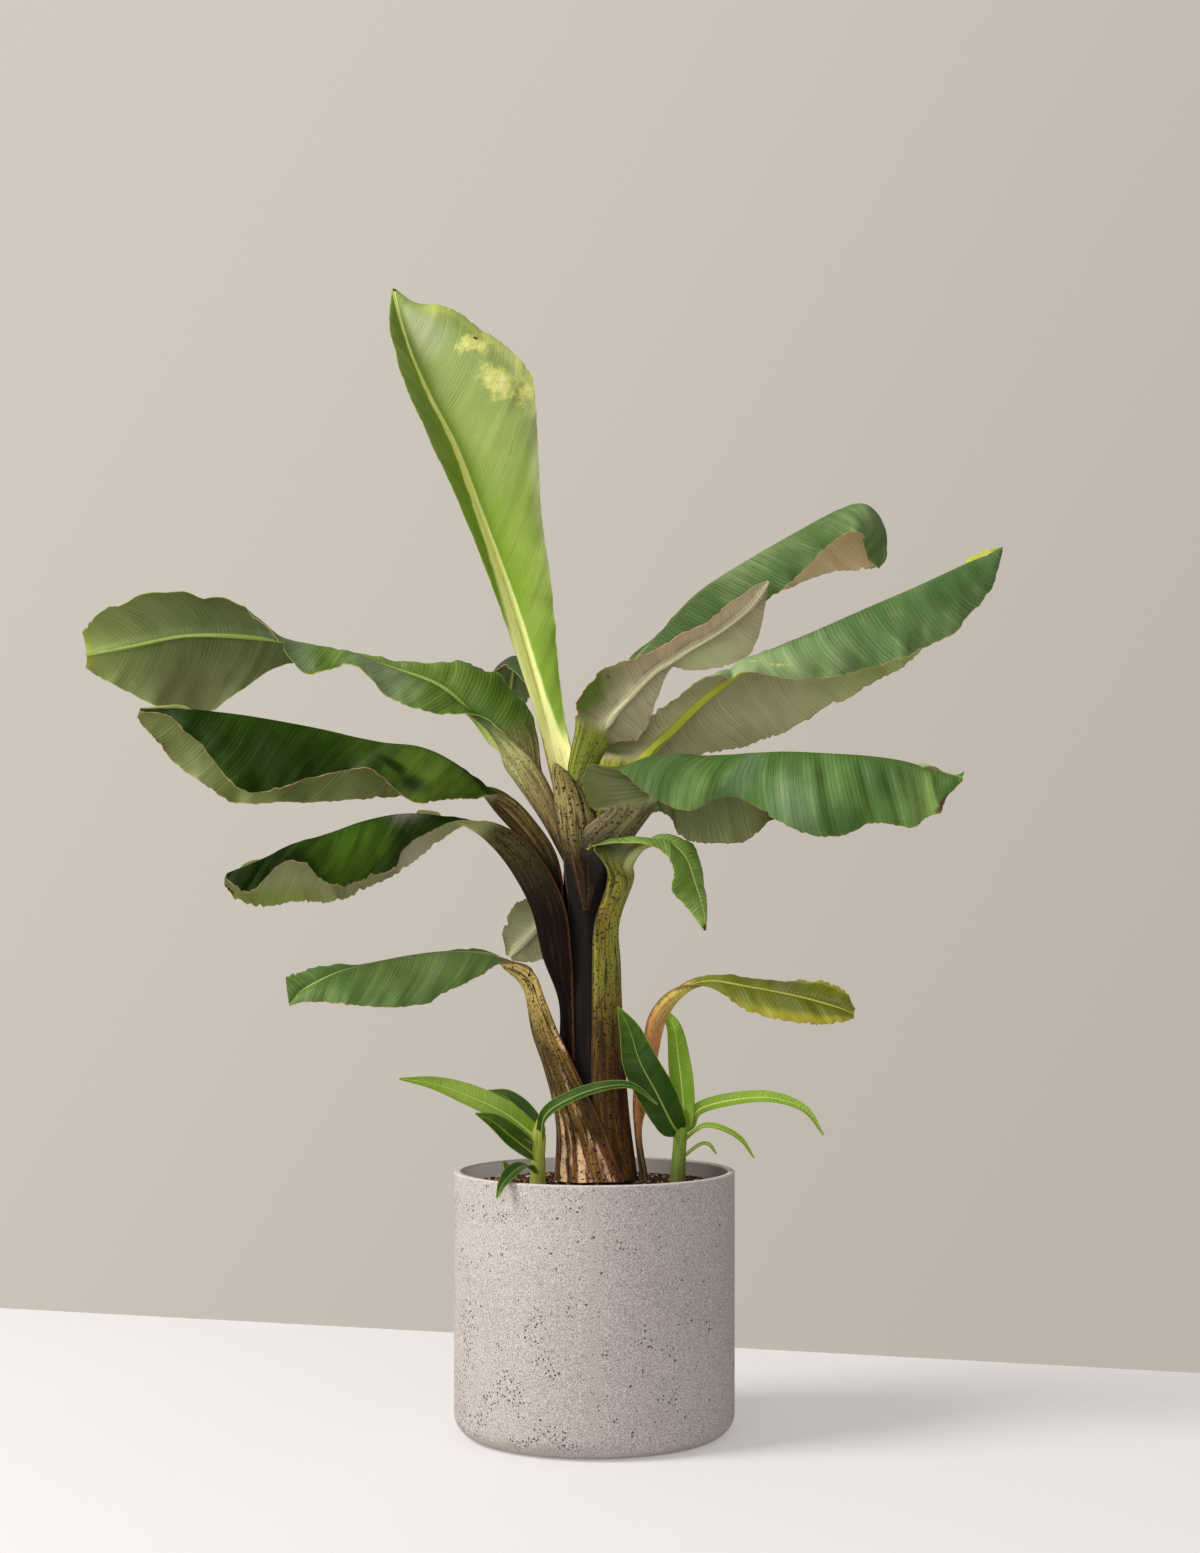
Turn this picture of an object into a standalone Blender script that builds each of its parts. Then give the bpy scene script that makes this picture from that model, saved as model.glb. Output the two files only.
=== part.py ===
"""A potted banana plant: a round stone pot, its soil, a trunk of nested leaf sheaths, an upright young leaf,
large arching leaves on all sides and two side shoots (pups) with small leaves. Metres, +Z up, with the origin
at the centre of the pot's foot and -Y the front."""

import math

import bmesh
import bpy
import numpy as np

# Pot and soil
POT_DIAMETER = 0.300
POT_HEIGHT = 0.281
POT_WALL = 0.0075
POT_BASE = 0.012
POT_FOOT_RADIUS = 0.024
POT_RIM_ROUND = 0.0018
SOIL_BELOW_RIM = 0.017
SOIL_MOUND = 0.005
GAP = 0.0003

# Trunk and leaves
PLANT_HEIGHT = 0.952  # from the soil to the tip of the upright leaf
PLANT_SPREAD = 1.0  # times the reach that the leaves are set out with
STEM_RADIUS = 0.024
LEAF_WIDTH = 1.0  # times the width that the blades are set out with
BLADE_THICKNESS = 0.0012
SHEATH_THICKNESS = 0.0025
SHEATH_CLEARANCE = 0.0013
STALK_CLEARANCE = 0.0036
PUP_STEM_RADIUS = 0.0078
PUP_STEM_SWELLS = (1.15, 1.0, 0.92, 0.98)  # its rings from the soil up, in its radius
PUP_STEM_DEPTH = 0.85  # of its width
PUP_STEM_SIDES = 12
PUP_RIB = 0.0022  # a pup leaf's midrib thickness and least half width
PUP_LEAF_END = 0.0012
PUP_BOW = -0.08

# The leaf points below are set out over this soil, on a plant this tall, round a stem this thick, in a pot
# this wide.
SET_OUT_SOIL = 0.269
SET_OUT_HEIGHT = 0.952
SET_OUT_RADIUS = 0.024
SET_OUT_POT = 0.300

POT_SIDES = 56
STEM_SIDES = 24
SOIL_TOP = POT_HEIGHT - SOIL_BELOW_RIM + SOIL_MOUND
HEIGHT_SCALE = PLANT_HEIGHT / SET_OUT_HEIGHT
POT_SCALE = POT_DIAMETER / SET_OUT_POT

# The trunk's axis and thickness, from the soil up: height over the soil, x of the axis, radius in stem radii.
STEM_RINGS = (
    (0.000, 0.004, 1.33),
    (0.064, 0.000, 1.12),
    (0.134, -0.003, 0.96),
    (0.194, -0.004, 0.90),
    (0.284, -0.008, 0.94),
    (0.328, -0.010, 0.96),
    (0.336, -0.010, 0.78),
)
STEM_TOP = STEM_RINGS[-1][0]
STEM_DEPTH = 0.95  # of its width
STALK_FOOT = 0.20  # half a stalk's width where it starts, in stem radii


# ---------------------------------------------------------------- helpers


def clear_scene():
    for item in list(bpy.data.objects):
        bpy.data.objects.remove(item, do_unlink=True)


def material(name, colour, roughness, metallic=0.0):
    made = bpy.data.materials.new(name)
    made.use_nodes = True
    shader = made.node_tree.nodes["Principled BSDF"]
    shader.inputs["Base Color"].default_value = (*colour, 1.0)
    shader.inputs["Roughness"].default_value = roughness
    shader.inputs["Metallic"].default_value = metallic
    made.diffuse_color = (*colour, 1.0)
    return made


def new_object(name, bm, made):
    mesh = bpy.data.meshes.new(name)
    bm.to_mesh(mesh)
    bm.free()
    mesh.materials.append(made)
    mesh.shade_smooth()
    mesh.set_sharp_from_angle(angle=math.radians(40))
    item = bpy.data.objects.new(name, mesh)
    bpy.context.scene.collection.objects.link(item)
    item.parent = PLANT_POT
    return item


def arc(centre, radius, start, end, steps):
    """Points of an arc in the profile plane (radius, height), angles in degrees."""
    turns = [math.radians(start + (end - start) * i / steps) for i in range(steps + 1)]
    return [(centre[0] + radius * math.cos(a), centre[1] + radius * math.sin(a)) for a in turns]


def turned(name, profile, made, sides=POT_SIDES):
    """A solid turned round Z from a profile that starts and ends on the axis."""
    bm = bmesh.new()
    verts = [bm.verts.new((r, 0.0, z)) for r, z in profile]
    edges = [bm.edges.new(pair) for pair in zip(verts, verts[1:])]
    bmesh.ops.spin(
        bm,
        geom=verts + edges,
        cent=(0, 0, 0),
        axis=(0, 0, 1),
        angle=math.tau,
        steps=sides,
        use_merge=True,
    )
    bmesh.ops.remove_doubles(bm, verts=bm.verts, dist=1e-6)
    bmesh.ops.recalc_face_normals(bm, faces=bm.faces)
    return new_object(name, bm, made)


def through(rows, steps):
    """A smooth curve through the rows, with this many spans between each two."""
    rows = np.asarray(rows, float)
    padded = np.vstack([2 * rows[0] - rows[1], rows, 2 * rows[-1] - rows[-2]])
    found = []
    for i in range(1, len(padded) - 2):
        a, b, c, d = padded[i - 1 : i + 3]
        square, cube = 2 * a - 5 * b + 4 * c - d, 3 * b - a - 3 * c + d
        for k in range(steps):
            t = k / steps
            found.append(0.5 * (2 * b + (c - a) * t + square * t**2 + cube * t**3))
    found.append(rows[-1])
    return np.array(found)


# ---------------------------------------------------------------- the trunk


def stem_at(height):
    """The trunk's axis x and radius at this height over the soil."""
    heights, xs, radii = zip(*STEM_RINGS)
    return float(np.interp(height, heights, xs)), STEM_RADIUS * float(np.interp(height, heights, radii))


def trunk(made):
    bm = bmesh.new()
    rings = []
    for height, x, share in STEM_RINGS:
        radius = STEM_RADIUS * share
        turns = [math.tau * i / STEM_SIDES for i in range(STEM_SIDES)]
        rings.append(
            [
                bm.verts.new(
                    (
                        x + radius * math.cos(a),
                        radius * STEM_DEPTH * math.sin(a),
                        SOIL_TOP + GAP + height * HEIGHT_SCALE,
                    )
                )
                for a in turns
            ]
        )
    for low, high in zip(rings, rings[1:]):
        for i in range(STEM_SIDES):
            j = (i + 1) % STEM_SIDES
            bm.faces.new((low[i], low[j], high[j], high[i]))
    bm.faces.new(rings[0][::-1])
    bm.faces.new(rings[-1])
    return new_object("pseudostem", bm, made)


# ---------------------------------------------------------------- leaves

# A leaf is a row of stations from its foot to its tip. Each station holds the midrib's place, the two edges
# as steps from the midrib (left and right as seen from the tip's side, on the upper face), how far each half
# bows out of the straight line from midrib to edge, the thickness at the midrib and the share of sheath.
SHEATH, STALK, BLADE, TIP = (0.0035, 1.0), (0.0065, 0.8), (0.0040, 0.0), (0.0020, 0.0)
COLUMNS = (-1.0, -0.62, -0.24, 0.0, 0.24, 0.62, 1.0)
PUP_COLUMNS = (-1.0, -0.5, 0.0, 0.5, 1.0)
SPANS = 2  # between two stations
RIB_REACH = 1.2  # how far the midrib's swelling reaches, in its thickness
BLADE_BOW = 0.14
STALK_BOW = -0.25


def wrap(height, angle, left, right, layer):
    """A station of a sheath that clasps the trunk: its midrib stands at this angle round the trunk (degrees,
    0 at +X), and its edges reach this many degrees further on each side. Layer 1 lies on the trunk."""
    x, radius = stem_at(height)
    radius += SHEATH_CLEARANCE + SHEATH_THICKNESS + (layer - 1) * (SHEATH_THICKNESS + 2 * SHEATH_CLEARANCE)

    def place(turn):
        a = math.radians(turn)
        return np.array((x + radius * math.cos(a), radius * STEM_DEPTH * math.sin(a), 0.0))

    rib = place(angle)
    steps = [place(angle + left) - rib, place(angle - right) - rib]
    bows = [-math.tan(math.radians(turn) / 4) / 2 for turn in (left, right)]
    low = np.array((0.0, 0.0, SOIL_TOP + 2 * GAP + height * HEIGHT_SCALE))
    return (*(rib + low), *steps[0], *steps[1], *bows, *SHEATH)


def foot(across, deep):
    """A stalk's lower end, on top of the trunk, at these shares of the trunk's radius."""
    x, radius = stem_at(STEM_RINGS[-2][0])
    height = SOIL_TOP + STALK_CLEARANCE + STEM_TOP * HEIGHT_SCALE
    base = (x + across * radius, deep * radius * STEM_DEPTH, height)
    half = STALK_FOOT * STEM_RADIUS
    away = np.array((across, deep, 0.0))
    away /= np.linalg.norm(away)
    side = np.array((-away[1], away[0], 0.0)) * half
    return (*base, *side, *-side, STALK_BOW, STALK_BOW, *STALK)


def at(rib, left, right, kind=BLADE, bow=None):
    """A free station, set out on the plant of the SET_OUT sizes, with z as height over the ground."""
    if bow is None:
        bow = STALK_BOW if kind is STALK else BLADE_BOW
    bows = bow if isinstance(bow, tuple) else (bow, bow)
    x, y, z = rib
    height = z - SET_OUT_SOIL
    axis_x, _ = stem_at(height)
    out = np.array((x - axis_x, y))
    length = np.linalg.norm(out)
    out *= (length * PLANT_SPREAD + STEM_RADIUS - SET_OUT_RADIUS) / length
    width = LEAF_WIDTH if kind in (BLADE, TIP) else STEM_RADIUS / SET_OUT_RADIUS
    edges = [np.array(edge) * width for edge in (left, right)]
    return (axis_x + out[0], out[1], SOIL_TOP + height * HEIGHT_SCALE, *edges[0], *edges[1], *bows, *kind)


def bowed(rib, edge, bow, share, side):
    """The point at this share of the way from midrib to edge, along an arc that bows towards side."""
    span = np.linalg.norm(edge)
    if abs(bow) < 1e-4:
        return rib + edge * share
    half = 2 * math.atan(2 * abs(bow))
    radius = span / (2 * math.sin(half))
    turn = half * (2 * share - 1)
    along = span / 2 + radius * math.sin(turn)
    off = radius * (math.cos(turn) - math.cos(half)) * math.copysign(1, bow)
    return rib + edge / span * along + side * off


def leaf(name, stations, made, columns=COLUMNS):
    """A leaf as a bowed sheet of its stations' cross-sections, thickened underneath, most at the midrib."""
    rows = through(stations, SPANS)
    ribs = rows[:, :3]
    along = np.gradient(ribs, axis=0)
    along /= np.linalg.norm(along, axis=1)[:, None]
    bm = bmesh.new()
    group = bm.verts.layers.deform.verify()
    grid = []
    thickest = max(BLADE_THICKNESS, SHEATH_THICKNESS, *(row[11] for row in rows))
    for row, rib, tangent in zip(rows, ribs, along):
        left, right, left_bow, right_bow, rib_thick, sheath = row[3:6], row[6:9], *row[9:13]
        skin = BLADE_THICKNESS + (SHEATH_THICKNESS - BLADE_THICKNESS) * min(max(sheath, 0), 1)
        line = []
        for column in columns:
            edge, bow, sign = (left, left_bow, 1) if column < 0 else (right, right_bow, -1)
            side = sign * np.cross(tangent, edge)
            side /= np.linalg.norm(side)
            vert = bm.verts.new(bowed(rib, edge, bow, abs(column), side))
            swell = math.exp(-((abs(column) * np.linalg.norm(edge) / (RIB_REACH * rib_thick)) ** 2))
            vert[group][0] = min((skin + max(rib_thick - skin, 0) * swell) / thickest, 1.0)
            line.append(vert)
        grid.append(line)
    for low, high in zip(grid, grid[1:]):
        for i in range(len(columns) - 1):
            bm.faces.new((low[i], low[i + 1], high[i + 1], high[i]))
    item = new_object(name, bm, made)
    item.vertex_groups.new(name="thickness")
    shell = item.modifiers.new("thickness", "SOLIDIFY")
    shell.thickness = thickest
    shell.offset = -1.0
    shell.vertex_group = "thickness"
    return item


def small_leaf(name, ribs, width, made, lift, up):
    """A pup's leaf: a narrow blade along its rib points, its halves lifted by this angle into a shallow V."""
    ribs = np.array(ribs, float)
    stations = []
    for i, (rib, tangent) in enumerate(zip(ribs, np.gradient(ribs, axis=0))):
        t = i / (len(ribs) - 1)
        swell = math.sin(math.pi * min(t * 1.12 + 0.06, 1.0)) ** 0.8
        half = LEAF_WIDTH * (PUP_RIB + (width - PUP_RIB) * swell) if t < 1 else PUP_LEAF_END
        tangent = tangent / np.linalg.norm(tangent)
        left = np.cross(up, tangent)
        left /= np.linalg.norm(left)
        top = np.cross(tangent, left)
        edges = [half * (side * left * math.cos(lift) + top * math.sin(lift)) for side in (1, -1)]
        height = SOIL_TOP + (rib[2] - SET_OUT_SOIL) * HEIGHT_SCALE
        place = (rib[0] * POT_SCALE, rib[1] * POT_SCALE, height)
        stations.append((*place, *edges[0], *edges[1], PUP_BOW, PUP_BOW, PUP_RIB, 0.0))
    return leaf(name, stations, made, columns=PUP_COLUMNS)


def spear(made):
    return leaf(
        "leaf_spear",
        [
            foot(-0.08, 0.10),
            at((-0.024, 0.004, 0.655), (-0.009, -0.004, 0.000), (0.009, -0.004, 0.000), STALK),
            at((-0.038, 0.003, 0.715), (-0.011, -0.005, 0.000), (0.016, -0.008, 0.000), STALK),
            at((-0.058, 0.000, 0.784), (-0.010, -0.006, 0.000), (0.023, -0.010, 0.005)),
            at((-0.087, 0.000, 0.881), (-0.014, -0.012, 0.000), (0.043, -0.018, 0.010)),
            at((-0.121, 0.000, 0.977), (-0.018, -0.020, 0.002), (0.064, -0.028, 0.016)),
            at((-0.149, -0.005, 1.052), (-0.026, -0.028, 0.006), (0.088, -0.030, 0.030)),
            at((-0.176, -0.010, 1.105), (-0.022, -0.026, 0.006), (0.108, -0.020, 0.022)),
            at((-0.195, -0.012, 1.148), (-0.016, -0.028, 0.004), (0.090, -0.010, 0.020)),
            at((-0.205, -0.014, 1.180), (-0.012, -0.016, 0.002), (0.056, -0.005, 0.016)),
            at((-0.211, -0.015, 1.205), (-0.006, -0.005, 0.000), (0.020, 0.000, 0.002)),
            at((-0.214, -0.015, 1.221), (-0.001, -0.001, 0.000), (0.002, 0.000, 0.000), TIP),
        ],
        made,
    )


def upper_left(made):
    return leaf(
        "leaf_upper_left",
        [
            foot(-0.62, 0.10),
            at((-0.050, -0.006, 0.656), (0.014, -0.009, 0.006), (0.010, 0.012, 0.004), STALK),
            at((-0.078, -0.002, 0.697), (0.018, -0.011, 0.016), (0.022, 0.012, 0.009), STALK),
            at((-0.104, 0.006, 0.733), (0.010, -0.010, 0.013), (0.042, 0.012, 0.016), (0.0065, 0.5)),
            at((-0.129, 0.014, 0.766), (0.004, -0.012, 0.002), (0.047, 0.014, 0.030)),
            at((-0.166, 0.022, 0.801), (-0.003, -0.030, -0.032), (0.031, 0.022, 0.026)),
            at((-0.216, 0.030, 0.822), (-0.003, -0.034, -0.036), (0.008, 0.032, 0.006)),
            at((-0.265, 0.035, 0.838), (0.000, -0.038, -0.014), (0.000, 0.034, -0.006)),
            at((-0.318, 0.040, 0.851), (0.008, -0.034, -0.038), (0.000, 0.036, -0.020)),
            at((-0.362, 0.045, 0.858), (0.000, -0.036, 0.014), (0.003, 0.034, -0.036)),
            at((-0.442, 0.050, 0.860), (-0.002, -0.028, 0.044), (0.000, 0.030, -0.090)),
            at((-0.508, 0.055, 0.848), (-0.024, -0.016, 0.038), (-0.004, 0.020, -0.050)),
            at((-0.556, 0.060, 0.838), (-0.004, -0.005, 0.024), (-0.002, 0.004, -0.014), TIP),
        ],
        made,
    )


def middle_left(made):
    return leaf(
        "leaf_middle_left",
        [
            wrap(0.150, 180, 28, 32, 1),
            wrap(0.220, 180, 28, 32, 1),
            wrap(0.290, 180, 28, 32, 1),
            at((-0.050, -0.005, 0.606), (0.012, -0.012, 0.006), (0.012, 0.012, 0.004), STALK),
            at((-0.072, -0.010, 0.636), (0.012, -0.013, 0.014), (0.012, 0.011, 0.010), STALK),
            at((-0.100, -0.014, 0.667), (0.008, -0.012, 0.014), (0.010, 0.011, 0.014), STALK),
            at((-0.126, -0.019, 0.697), (0.000, -0.020, -0.020), (0.004, 0.020, -0.002)),
            at((-0.154, -0.022, 0.721), (-0.003, -0.030, -0.046), (0.000, 0.028, -0.026)),
            at((-0.186, -0.025, 0.735), (-0.005, -0.034, -0.062), (0.000, 0.034, -0.050)),
            at((-0.233, -0.030, 0.740), (-0.005, -0.036, -0.034), (-0.010, 0.032, -0.062)),
            at((-0.290, -0.035, 0.753), (-0.005, -0.035, -0.056), (-0.016, 0.030, -0.078)),
            at((-0.363, -0.040, 0.766), (0.003, -0.034, -0.084), (-0.018, 0.030, -0.092)),
            at((-0.416, -0.045, 0.772), (0.003, -0.020, -0.040), (-0.014, 0.025, -0.068)),
            at((-0.451, -0.045, 0.774), (0.006, -0.008, -0.012), (-0.014, 0.014, -0.036)),
            at((-0.478, -0.045, 0.772), (0.001, -0.002, -0.004), (-0.004, 0.002, -0.010), TIP),
        ],
        made,
    )


def front_left(made):
    return leaf(
        "leaf_front_left",
        [
            wrap(0.130, 180, 56, 44, 2),
            wrap(0.190, 180, 54, 44, 2),
            at((-0.052, -0.003, 0.510), (0.028, -0.026, 0.000), (0.016, 0.022, 0.000), SHEATH, -0.2),
            at((-0.064, -0.004, 0.560), (0.032, -0.024, 0.006), (0.014, 0.020, 0.002), SHEATH, -0.2),
            at((-0.082, -0.008, 0.602), (0.024, -0.018, 0.014), (0.010, 0.016, 0.006), STALK),
            at((-0.105, -0.014, 0.632), (0.014, -0.016, 0.014), (0.006, 0.013, 0.004), STALK),
            at((-0.137, -0.026, 0.653), (0.003, -0.016, 0.002), (0.002, 0.014, -0.004)),
            at((-0.172, -0.043, 0.662), (-0.010, -0.020, -0.026), (0.002, 0.022, -0.034)),
            at((-0.205, -0.060, 0.662), (-0.008, -0.028, -0.058), (0.000, 0.028, -0.062)),
            at((-0.240, -0.080, 0.654), (-0.003, -0.032, -0.068), (0.000, 0.030, -0.072)),
            at((-0.270, -0.102, 0.642), (0.000, -0.030, -0.056), (0.000, 0.030, -0.074)),
            at((-0.302, -0.125, 0.630), (-0.005, -0.030, -0.020), (-0.002, 0.028, -0.062)),
            at((-0.340, -0.150, 0.612), (-0.006, -0.020, -0.034), (-0.005, 0.022, -0.048)),
            at((-0.368, -0.170, 0.597), (-0.001, -0.003, -0.006), (-0.003, 0.004, -0.014), TIP),
        ],
        made,
    )


def low_left(made):
    return leaf(
        "leaf_low_left",
        [
            wrap(0.002, -115, 62, 58, 3),
            wrap(0.061, -126, 48, 44, 3),
            at((-0.043, -0.027, 0.390), (0.024, -0.010, 0.000), (-0.007, 0.028, 0.000), SHEATH, -0.16),
            at((-0.058, -0.022, 0.430), (0.020, -0.012, 0.000), (-0.004, 0.027, 0.000), SHEATH, -0.18),
            at((-0.067, -0.018, 0.463), (0.015, -0.013, 0.002), (0.002, 0.023, 0.002), SHEATH, -0.2),
            at((-0.076, -0.017, 0.487), (0.012, -0.012, 0.006), (0.010, 0.016, 0.008), STALK),
            at((-0.091, -0.018, 0.501), (0.003, -0.009, 0.004), (0.003, 0.009, 0.004), STALK),
            at((-0.106, -0.024, 0.512), (0.000, -0.015, -0.012), (0.000, 0.012, -0.002)),
            at((-0.132, -0.038, 0.517), (0.000, -0.022, -0.032), (0.000, 0.028, -0.008)),
            at((-0.172, -0.060, 0.517), (0.003, -0.030, -0.053), (0.000, 0.034, -0.034)),
            at((-0.217, -0.085, 0.510), (0.000, -0.030, -0.050), (0.000, 0.034, -0.038)),
            at((-0.262, -0.105, 0.498), (0.003, -0.020, -0.034), (-0.004, 0.026, 0.002)),
            at((-0.296, -0.120, 0.480), (0.003, -0.008, -0.014), (-0.008, 0.014, 0.016)),
            at((-0.311, -0.125, 0.464), (0.000, -0.002, -0.002), (-0.005, 0.008, 0.028), TIP),
        ],
        made,
    )


def rear_right(made):
    return leaf(
        "leaf_rear_right",
        [
            foot(0.42, 0.62),
            at((0.006, 0.030, 0.690), (-0.006, 0.005, 0.001), (0.006, -0.006, 0.001), STALK),
            at((0.020, 0.040, 0.760), (-0.007, 0.005, 0.002), (0.007, -0.006, 0.000), STALK),
            at((0.039, 0.050, 0.823), (-0.010, 0.012, 0.000), (0.008, -0.012, -0.008)),
            at((0.078, 0.070, 0.871), (-0.002, 0.030, -0.020), (0.006, -0.028, -0.028)),
            at((0.117, 0.090, 0.914), (0.000, 0.042, -0.040), (0.018, -0.038, -0.050)),
            at((0.184, 0.110, 0.959), (0.000, 0.046, -0.050), (0.018, -0.044, -0.052)),
            at((0.263, 0.130, 1.004), (0.000, 0.046, -0.062), (0.006, -0.042, -0.034)),
            at((0.301, 0.140, 1.018), (0.004, 0.040, -0.070), (0.000, -0.040, -0.046)),
            at((0.325, 0.145, 1.000), (-0.004, 0.028, -0.050), (-0.022, -0.028, -0.036)),
            at((0.330, 0.150, 0.968), (-0.006, 0.012, -0.018), (-0.024, -0.012, -0.012)),
            at((0.322, 0.150, 0.945), (-0.001, 0.002, 0.000), (-0.002, -0.002, 0.000), TIP),
        ],
        made,
    )


def inner_right(made):
    return leaf(
        "leaf_inner_right",
        [
            foot(0.05, -0.16),
            at((-0.017, -0.020, 0.660), (0.009, 0.002, 0.000), (-0.011, 0.001, 0.001), STALK),
            at((-0.012, -0.028, 0.705), (0.013, 0.003, 0.000), (-0.016, -0.002, 0.002), STALK),
            at((0.002, -0.031, 0.738), (0.012, 0.006, -0.006), (-0.022, -0.007, 0.012), STALK),
            at((0.018, -0.035, 0.764), (0.010, 0.012, -0.026), (-0.037, -0.012, 0.010)),
            at((0.036, -0.038, 0.784), (0.012, 0.018, -0.044), (-0.038, -0.015, 0.018)),
            at((0.061, -0.048, 0.810), (0.000, 0.020, -0.040), (-0.020, -0.014, 0.014)),
            at((0.078, -0.053, 0.821), (0.002, 0.012, -0.008), (-0.012, -0.012, 0.010)),
            at((0.095, -0.058, 0.832), (0.002, 0.022, -0.020), (-0.008, -0.013, 0.013)),
            at((0.127, -0.068, 0.850), (0.008, 0.028, -0.034), (-0.009, -0.012, 0.012)),
            at((0.155, -0.074, 0.870), (0.010, 0.024, -0.040), (-0.010, -0.010, 0.010)),
            at((0.172, -0.078, 0.888), (0.004, 0.016, -0.022), (-0.007, -0.005, 0.007)),
            at((0.181, -0.080, 0.901), (0.000, 0.002, -0.002), (-0.001, -0.001, 0.001), TIP),
        ],
        made,
    )


def long_right(made):
    return leaf(
        "leaf_long_right",
        [
            foot(0.46, -0.60),
            at((0.010, -0.013, 0.640), (0.008, 0.010, 0.000), (-0.010, 0.005, 0.004), STALK),
            at((0.026, -0.011, 0.676), (0.006, 0.012, 0.000), (-0.020, 0.003, 0.008), STALK),
            at((0.041, -0.008, 0.704), (0.002, 0.014, -0.006), (-0.044, -0.002, 0.006), STALK),
            at((0.061, -0.001, 0.729), (-0.004, 0.018, -0.018), (-0.058, -0.008, 0.006)),
            at((0.086, 0.005, 0.755), (-0.006, 0.022, -0.036), (-0.030, -0.022, 0.010)),
            at((0.116, 0.010, 0.785), (-0.003, 0.028, -0.058), (-0.030, -0.028, -0.001)),
            at((0.151, 0.013, 0.813), (0.010, 0.030, -0.076), (-0.018, -0.044, -0.003)),
            at((0.199, 0.016, 0.842), (0.000, 0.030, -0.093), (-0.030, -0.042, -0.034)),
            at((0.247, 0.019, 0.866), (-0.008, 0.026, -0.094), (-0.018, -0.040, -0.062)),
            at((0.295, 0.022, 0.888), (-0.005, 0.025, -0.090), (-0.005, -0.035, -0.072)),
            at((0.343, 0.025, 0.909), (-0.003, 0.022, -0.082), (-0.005, -0.030, -0.076)),
            at((0.386, 0.028, 0.929), (-0.008, 0.020, -0.058), (-0.003, -0.025, -0.074)),
            at((0.420, 0.030, 0.945), (0.004, 0.012, -0.036), (0.004, -0.012, -0.044)),
            at((0.442, 0.032, 0.953), (0.000, 0.002, -0.006), (0.000, -0.002, -0.006), TIP),
        ],
        made,
    )


def front_right(made):
    return leaf(
        "leaf_front_right",
        [
            wrap(0.060, -92, 46, 46, 1),
            wrap(0.130, -92, 50, 50, 1),
            wrap(0.220, -90, 50, 52, 1),
            wrap(0.290, -84, 44, 52, 1),
            at((0.012, -0.038, 0.612), (0.012, 0.012, 0.000), (-0.044, 0.004, 0.004), STALK, (-0.2, -0.12)),
            at((0.028, -0.041, 0.636), (0.010, 0.014, -0.002), (-0.044, -0.001, 0.006), STALK, (-0.2, -0.12)),
            at((0.049, -0.042, 0.664), (0.006, 0.014, -0.006), (-0.040, -0.006, -0.002), STALK, (-0.2, -0.1)),
            at((0.070, -0.043, 0.686), (0.000, 0.018, -0.022), (-0.070, -0.010, -0.018)),
            at((0.090, -0.044, 0.702), (-0.008, 0.024, -0.052), (-0.102, -0.014, -0.006)),
            at((0.110, -0.045, 0.715), (-0.010, 0.028, -0.082), (-0.090, -0.024, -0.006)),
            at((0.130, -0.046, 0.722), (-0.008, 0.030, -0.092), (-0.078, -0.034, -0.040)),
            at((0.150, -0.048, 0.725), (0.000, 0.030, -0.094), (-0.056, -0.032, -0.062)),
            at((0.175, -0.050, 0.727), (0.000, 0.030, -0.084), (-0.032, -0.028, -0.050)),
            at((0.204, -0.052, 0.728), (0.000, 0.030, -0.070), (-0.014, -0.028, -0.074)),
            at((0.245, -0.056, 0.726), (0.004, 0.030, -0.086), (-0.002, -0.030, -0.092)),
            at((0.287, -0.060, 0.723), (0.000, 0.030, -0.062), (0.004, -0.030, -0.074)),
            at((0.325, -0.065, 0.717), (0.000, 0.024, -0.045), (0.005, -0.024, -0.072)),
            at((0.355, -0.068, 0.707), (0.000, 0.012, -0.020), (-0.004, -0.012, -0.044)),
            at((0.384, -0.070, 0.698), (0.002, 0.003, 0.006), (0.000, -0.002, -0.004), TIP),
        ],
        made,
    )


def curled_right(made):
    return leaf(
        "leaf_curled_right",
        [
            wrap(0.002, -20, 58, 68, 2),
            wrap(0.090, -15, 55, 78, 2),
            wrap(0.180, -10, 52, 78, 2),
            wrap(0.230, -10, 50, 74, 2),
            wrap(0.275, -10, 46, 66, 2),
            at((0.034, -0.020, 0.592), (0.000, 0.020, 0.004), (-0.020, -0.028, 0.004), STALK),
            at((0.036, -0.050, 0.611), (0.006, 0.010, 0.000), (-0.038, -0.016, 0.012), (0.0065, 0.3)),
            at((0.052, -0.060, 0.627), (0.004, 0.010, 0.004), (-0.058, -0.018, 0.002)),
            at((0.075, -0.064, 0.632), (0.003, 0.018, 0.006), (-0.014, -0.022, -0.008)),
            at((0.096, -0.068, 0.615), (0.010, 0.018, 0.010), (-0.015, -0.018, -0.012)),
            at((0.107, -0.068, 0.586), (0.007, 0.018, 0.004), (-0.026, -0.012, -0.006)),
            at((0.114, -0.066, 0.560), (0.004, 0.010, 0.000), (-0.014, -0.006, -0.002)),
            at((0.116, -0.064, 0.538), (0.001, 0.002, 0.000), (-0.002, -0.001, 0.000), TIP),
        ],
        made,
    )


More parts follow.
